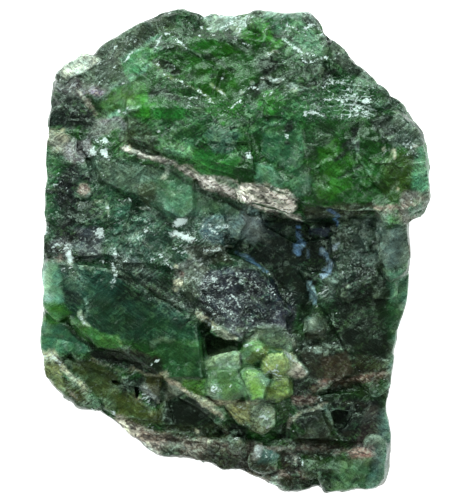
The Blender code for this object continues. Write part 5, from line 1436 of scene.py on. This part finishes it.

# How deep the green looks: each facet and chip its own, painted shade running across each facet and chip,
# and finer grain where the break isn't polished
LEAST_DEPTH, MOST_DEPTH, PALE_FROM = 0.12, 1.5, 1.05
DEEP_PALLOR, FROSTY_PALLOR = (0.05, 0.11, 0.05, 1), (0.24, 0.29, 0.27, 1)
COOL_HUE, WARM_HUE = (0.74, 0.96, 0.98, 1), (1.0, 0.98, 0.74, 1)
broken = 1.0 - 0.7 * polish_look
depth = (0.74 + 0.52 * channel(facet, "Red")) * (0.84 + 0.32 * channel(chips, "Red"))
depth = depth * (1.0 + broken * (4.0 * (fibre - 0.5) + 2.3 * (grain - 0.5)))
depth = depth * (1.0 + 0.22 * shading(drawn_out(22, 1.6), 0.75))
depth = depth * (1.0 + 0.20 * broken * shading(drawn_out(-30, 2.0), 2.0))
depth = depth.maths("MAXIMUM", LEAST_DEPTH)
pallor = (depth - PALE_FROM).maths("MAXIMUM", 0.0)
pale = blend(DEEP_PALLOR, FROSTY_PALLOR, frost_look)
plain_colour = summed(scaled(tone_look, depth.maths("MINIMUM", MOST_DEPTH)), scaled(pale, pallor))
hue = blend(COOL_HUE, WARM_HUE, noise(in_mm, 0.9, 3.0).ramp(0.36, 0.64))
colour = blend(plain_colour, hue, 1.0 - 0.75 * frost_look, "MULTIPLY")

# Threads, crumbs, streaks and cracks, and painted highlights: sparks and pale edges
THREAD, CRUMB, EDGE = (0.26, 0.40, 0.29, 1), (0.34, 0.42, 0.37, 1), (0.34, 0.48, 0.37, 1)
SPARK, STREAK_LIGHT = (0.78, 0.86, 0.84, 1), (0.020, 0.045, 0.024)
DARK_STREAK, CRACK = (0.008, 0.018, 0.008, 1), (0.006, 0.010, 0.006, 1)
thread = 1.0 - Look.node("Math", {"operation": "ABSOLUTE"}, {0: fibre - 0.5}).ramp(0.0, 0.03)
thread = thread * (0.01 + 0.10 * frost_look) * coarse.ramp(0.40, 0.60) * broken
colour = blend(colour, THREAD, thread)
crumb = (channel(fine_chips, "Green") - (0.985 - 0.22 * frost_look)).ramp(0.0, 0.04)
crumb = crumb * grain.ramp(0.46, 0.56)
colour = blend(colour, CRUMB, 0.55 * crumb * broken)
streaky = (0.5 + 0.5 * grain.ramp(0.4, 0.6)) * (1.0 - 0.6 * polish_look)
pale_streak = summed(scaled(tone_look, 1.9), STREAK_LIGHT)
colour = blend(colour, pale_streak, 0.62 * streak.ramp(0.58, 0.68) * streaky)
colour = blend(colour, DARK_STREAK, 0.72 * (1.0 - streak).ramp(0.58, 0.68) * streaky)
sparks = noise(rising, 4.0, 2.0) * 0.5 + noise(in_mm, 0.7, 2.0) * 0.5
sparks = sparks + 0.07 * frost_look - 0.05 * polish_look
colour = blend(colour, SPARK, 0.85 * sparks.ramp(0.66, 0.70))
crack_lines = (1.0 - cracks.ramp(0.0, 0.03)) * coarse.ramp(0.5, 0.6)
colour = blend(colour, CRACK, 0.4 * crack_lines)
edge_lines = (1.0 - edges.ramp(0.0, 0.05)) * noise(in_mm, 1.4, 3.0).ramp(0.47, 0.58)
colour = blend(colour, EDGE, edge_lines * (0.05 + 0.16 * frost_look) * broken)

# The earth in the seams, with pale and dark crumbs
EARTH_LIFT, EARTH_HUE = 1.48, (0.93, 1.0, 1.04, 1)
PALE_CRUMB, DARK_CRUMB = (0.62, 0.58, 0.48, 1), (0.034, 0.036, 0.022, 1)
BROWN_CRUMB = (0.030, 0.024, 0.020, 1)
crumbs = cells(drawn_out(-22, 1.7), 6.5)
earth = blend(scaled(plain_colour, EARTH_LIFT), EARTH_HUE, 1.0, "MULTIPLY")
earth = blend(earth, PALE_CRUMB, (channel(crumbs, "Blue") - 0.70).ramp(0.0, 0.1) * 0.6)
earth = blend(earth, DARK_CRUMB, (channel(crumbs, "Red") - 0.80).ramp(0.0, 0.1) * 0.8)
earth = blend(earth, BROWN_CRUMB, (channel(chips, "Blue") - 0.80).ramp(0.0, 0.1) * 0.7)

# The curved ripples at the right shoulder, round one middle, with painted highlight on the crests and
# painted shade in the troughs, and then the painted glints
RIPPLE_MIDDLE, RIPPLE_LENGTH = (11.0, 4.0, 0.0), 0.50
CREST_HIGHLIGHT, TROUGH_SHADE, GLINT = (0.60, 0.80, 0.70, 1), (0.012, 0.030, 0.014, 1), (0.70, 0.84, 0.80, 1)
stirred = summed(in_mm, scaled(stir, 0.4))
arcs = Look.node("VectorMath", {"operation": "DISTANCE"}, {
    0: vector_maths("MULTIPLY", stirred, (1.0, 1.0, 0.0)), 1: RIPPLE_MIDDLE}, "Value")
wave = Look.node("Math", {"operation": "SINE"}, {
    0: arcs * (math.tau / RIPPLE_LENGTH) + 5.0 * noise(in_mm, 1.1, 2.0)})
crest_gaps = (noise(rising, 2.4, 3.0) + 0.22 * rippled_look).ramp(0.60, 0.74)
crest_highlights = wave.ramp(0.60, 1.0) * crest_gaps * rippled_look
colour = blend(colour, CREST_HIGHLIGHT, 0.8 * crest_highlights)
trough_shade = (0.0 - wave).ramp(0.3, 0.9) * noise(falling, 1.6, 2.0).ramp(0.42, 0.52) * rippled_look
colour = blend(colour, TROUGH_SHADE, 0.6 * trough_shade)
fleck = channel(cells(drawn_out(34, 1.8), 6.5), "Red") * 0.7
fleck = fleck + channel(cells(drawn_out(-40, 1.6), 9.0), "Red") * 0.3
glow = (fleck + glint_look).ramp(1.02, 1.30)
colour = blend(colour, GLINT, 0.92 * glow)
# Painted glints and crest highlights also glow a little, as emission
shine = scaled((0.80, 1.0, 0.96), glow + 0.4 * crest_highlights + 1.3 * glint_look.ramp(1.0, 1.2))

# Which way the small breaks face
DOWN_THE_FRONT = (0.14, -0.34, 0.0)
facing = summed(Look.node("NewGeometry", {}, {}, "Normal"), scaled(DOWN_THE_FRONT, away_look))
facing = summed(facing, scaled(leaning(facet), 0.26))
facing = summed(facing, scaled(leaning(chips), 0.16 * broken))
facing = straightened(summed(facing, scaled(leaning(fine_chips), 0.10 * broken)))
splinters = summed(facing, scaled(leaning(chips), 0.26))
splinters = straightened(summed(splinters, scaled(leaning(fine_chips), 0.42)))


def fibrous(height, normal):
    return Look.node("Bump", {}, {"Strength": 0.6, "Distance": height, "Height": fibre, "Normal": normal})


bumped = fibrous(0.14 * MM, facing)
splintered = fibrous(0.18 * MM, splinters)

# Peridot's index is 1.67. Clear breaks and gleaming ones lie mixed in clusters, and earth hides both
PERIDOT_IOR, EARTH_IOR, CLEARNESS, SHINE_STRENGTH = 1.67, 1.5, 0.3, 0.16


def glass_of(roughness, gloss, gloss_colour, normal):
    return Look.node("BsdfPrincipled", {}, {
        "Base Color": colour, "Emission Color": shine, "Emission Strength": SHINE_STRENGTH,
        "Roughness": roughness, "IOR": PERIDOT_IOR, "Transmission Weight": CLEARNESS,
        "Specular IOR Level": gloss, "Specular Tint": gloss_colour, "Normal": normal})


clear = glass_of(0.14 + 0.30 * grain, gloss=0.26, gloss_colour=(0.74, 1.0, 0.78, 1), normal=bumped)
gleaming = glass_of(0.06 + 0.16 * grain, gloss=0.55, gloss_colour=(0.86, 1.0, 0.94, 1), normal=splintered)
clusters = noise(in_mm, 1.5, 3.0).ramp(0.40, 0.56)
glassy = Look.node("MixShader", {}, {0: gleam_look * clusters, 1: clear, 2: gleaming})
earthy = Look.node("BsdfPrincipled", {}, {
    "Base Color": earth, "Roughness": 0.40 + 0.3 * grain, "IOR": EARTH_IOR, "Normal": bumped})
mixed = Look.node("MixShader", {}, {0: crust_look, 1: glassy, 2: earthy})
INNER_GREEN, ABSORBED = (0.10, 0.45, 0.08, 1), 60.0
inside = Look.node("VolumeAbsorption", {}, {"Color": INNER_GREEN, "Density": ABSORBED})
output = Look.tree.nodes.new("ShaderNodeOutputMaterial")
Look.tree.links.new(mixed.socket, output.inputs["Surface"])
Look.tree.links.new(inside.socket, output.inputs["Volume"])
body.materials.append(material)

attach(stone, "root")
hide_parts("peridot_crystal")

# The floor: a wide sheet of plain pale card, lying flat under the stone. It gives off a little light of its
# own, so that it stays white right up to the stone.
CARD_HALF = 1.5
floor_mesh = bpy.data.meshes.new("floor")
form = bmesh.new()
bmesh.ops.create_grid(form, x_segments=1, y_segments=1, size=CARD_HALF)
form.to_mesh(floor_mesh)
form.free()
floor = bpy.data.objects.new("floor", floor_mesh)
bpy.context.scene.collection.objects.link(floor)
card = bpy.data.materials.new("pale_card")
card.use_nodes = True
card_shader = card.node_tree.nodes["Principled BSDF"]
card_shader.inputs["Base Color"].default_value = (0.92, 0.92, 0.92, 1)
card_shader.inputs["Roughness"].default_value = 0.9
card_shader.inputs["Emission Color"].default_value = (1, 1, 1, 1)
card_shader.inputs["Emission Strength"].default_value = 0.8
floor_mesh.materials.append(card)

# The light and the camera: three soft boxes, above, left and right of the stone, in a dim white room. The
# camera looks straight down on the stone through a long lens.
ROOM_LIGHT = 0.14
STONE_MIDDLE = (0, 0, 0.015)
BOX_COLOUR = (0.90, 1.0, 0.97)
world = bpy.data.worlds.new("studio")
bpy.context.scene.world = world
world.use_nodes = True
background = world.node_tree.nodes["Background"]
background.inputs["Color"].default_value = (1, 1, 1, 1)
background.inputs["Strength"].default_value = ROOM_LIGHT


def soft_box(name, place, wide, high, radiance):
    light = bpy.data.lights.new(name, "AREA")
    light.shape = "RECTANGLE"
    light.size = wide
    light.size_y = high
    light.energy = radiance * math.pi * wide * high
    light.color = BOX_COLOUR
    holder = bpy.data.objects.new(name, light)
    bpy.context.scene.collection.objects.link(holder)
    holder.location = place
    holder.rotation_euler = (Vector(STONE_MIDDLE) - Vector(place)).to_track_quat("-Z", "Y").to_euler()


soft_box("top_box", (0.0, 0.32, 0.30), wide=0.24, high=0.13, radiance=18.5)
soft_box("left_box", (-0.34, 0.04, 0.30), wide=0.13, high=0.18, radiance=12.0)
soft_box("right_box", (0.32, -0.10, 0.32), wide=0.12, high=0.14, radiance=10.0)

LENS, SENSOR = 500.0, 36.0
VIEW_HEIGHT = 50.4 * MM
FRONT_LEVEL = 13 * MM
camera_data = bpy.data.cameras.new("camera")
camera_data.lens = LENS
camera_data.sensor_width = SENSOR
camera = bpy.data.objects.new("camera", camera_data)
camera.location = (-0.45 * MM, -0.25 * MM, FRONT_LEVEL + VIEW_HEIGHT * LENS / SENSOR)
bpy.context.scene.collection.objects.link(camera)
bpy.context.scene.camera = camera
bpy.context.scene.view_settings.view_transform = "Standard"
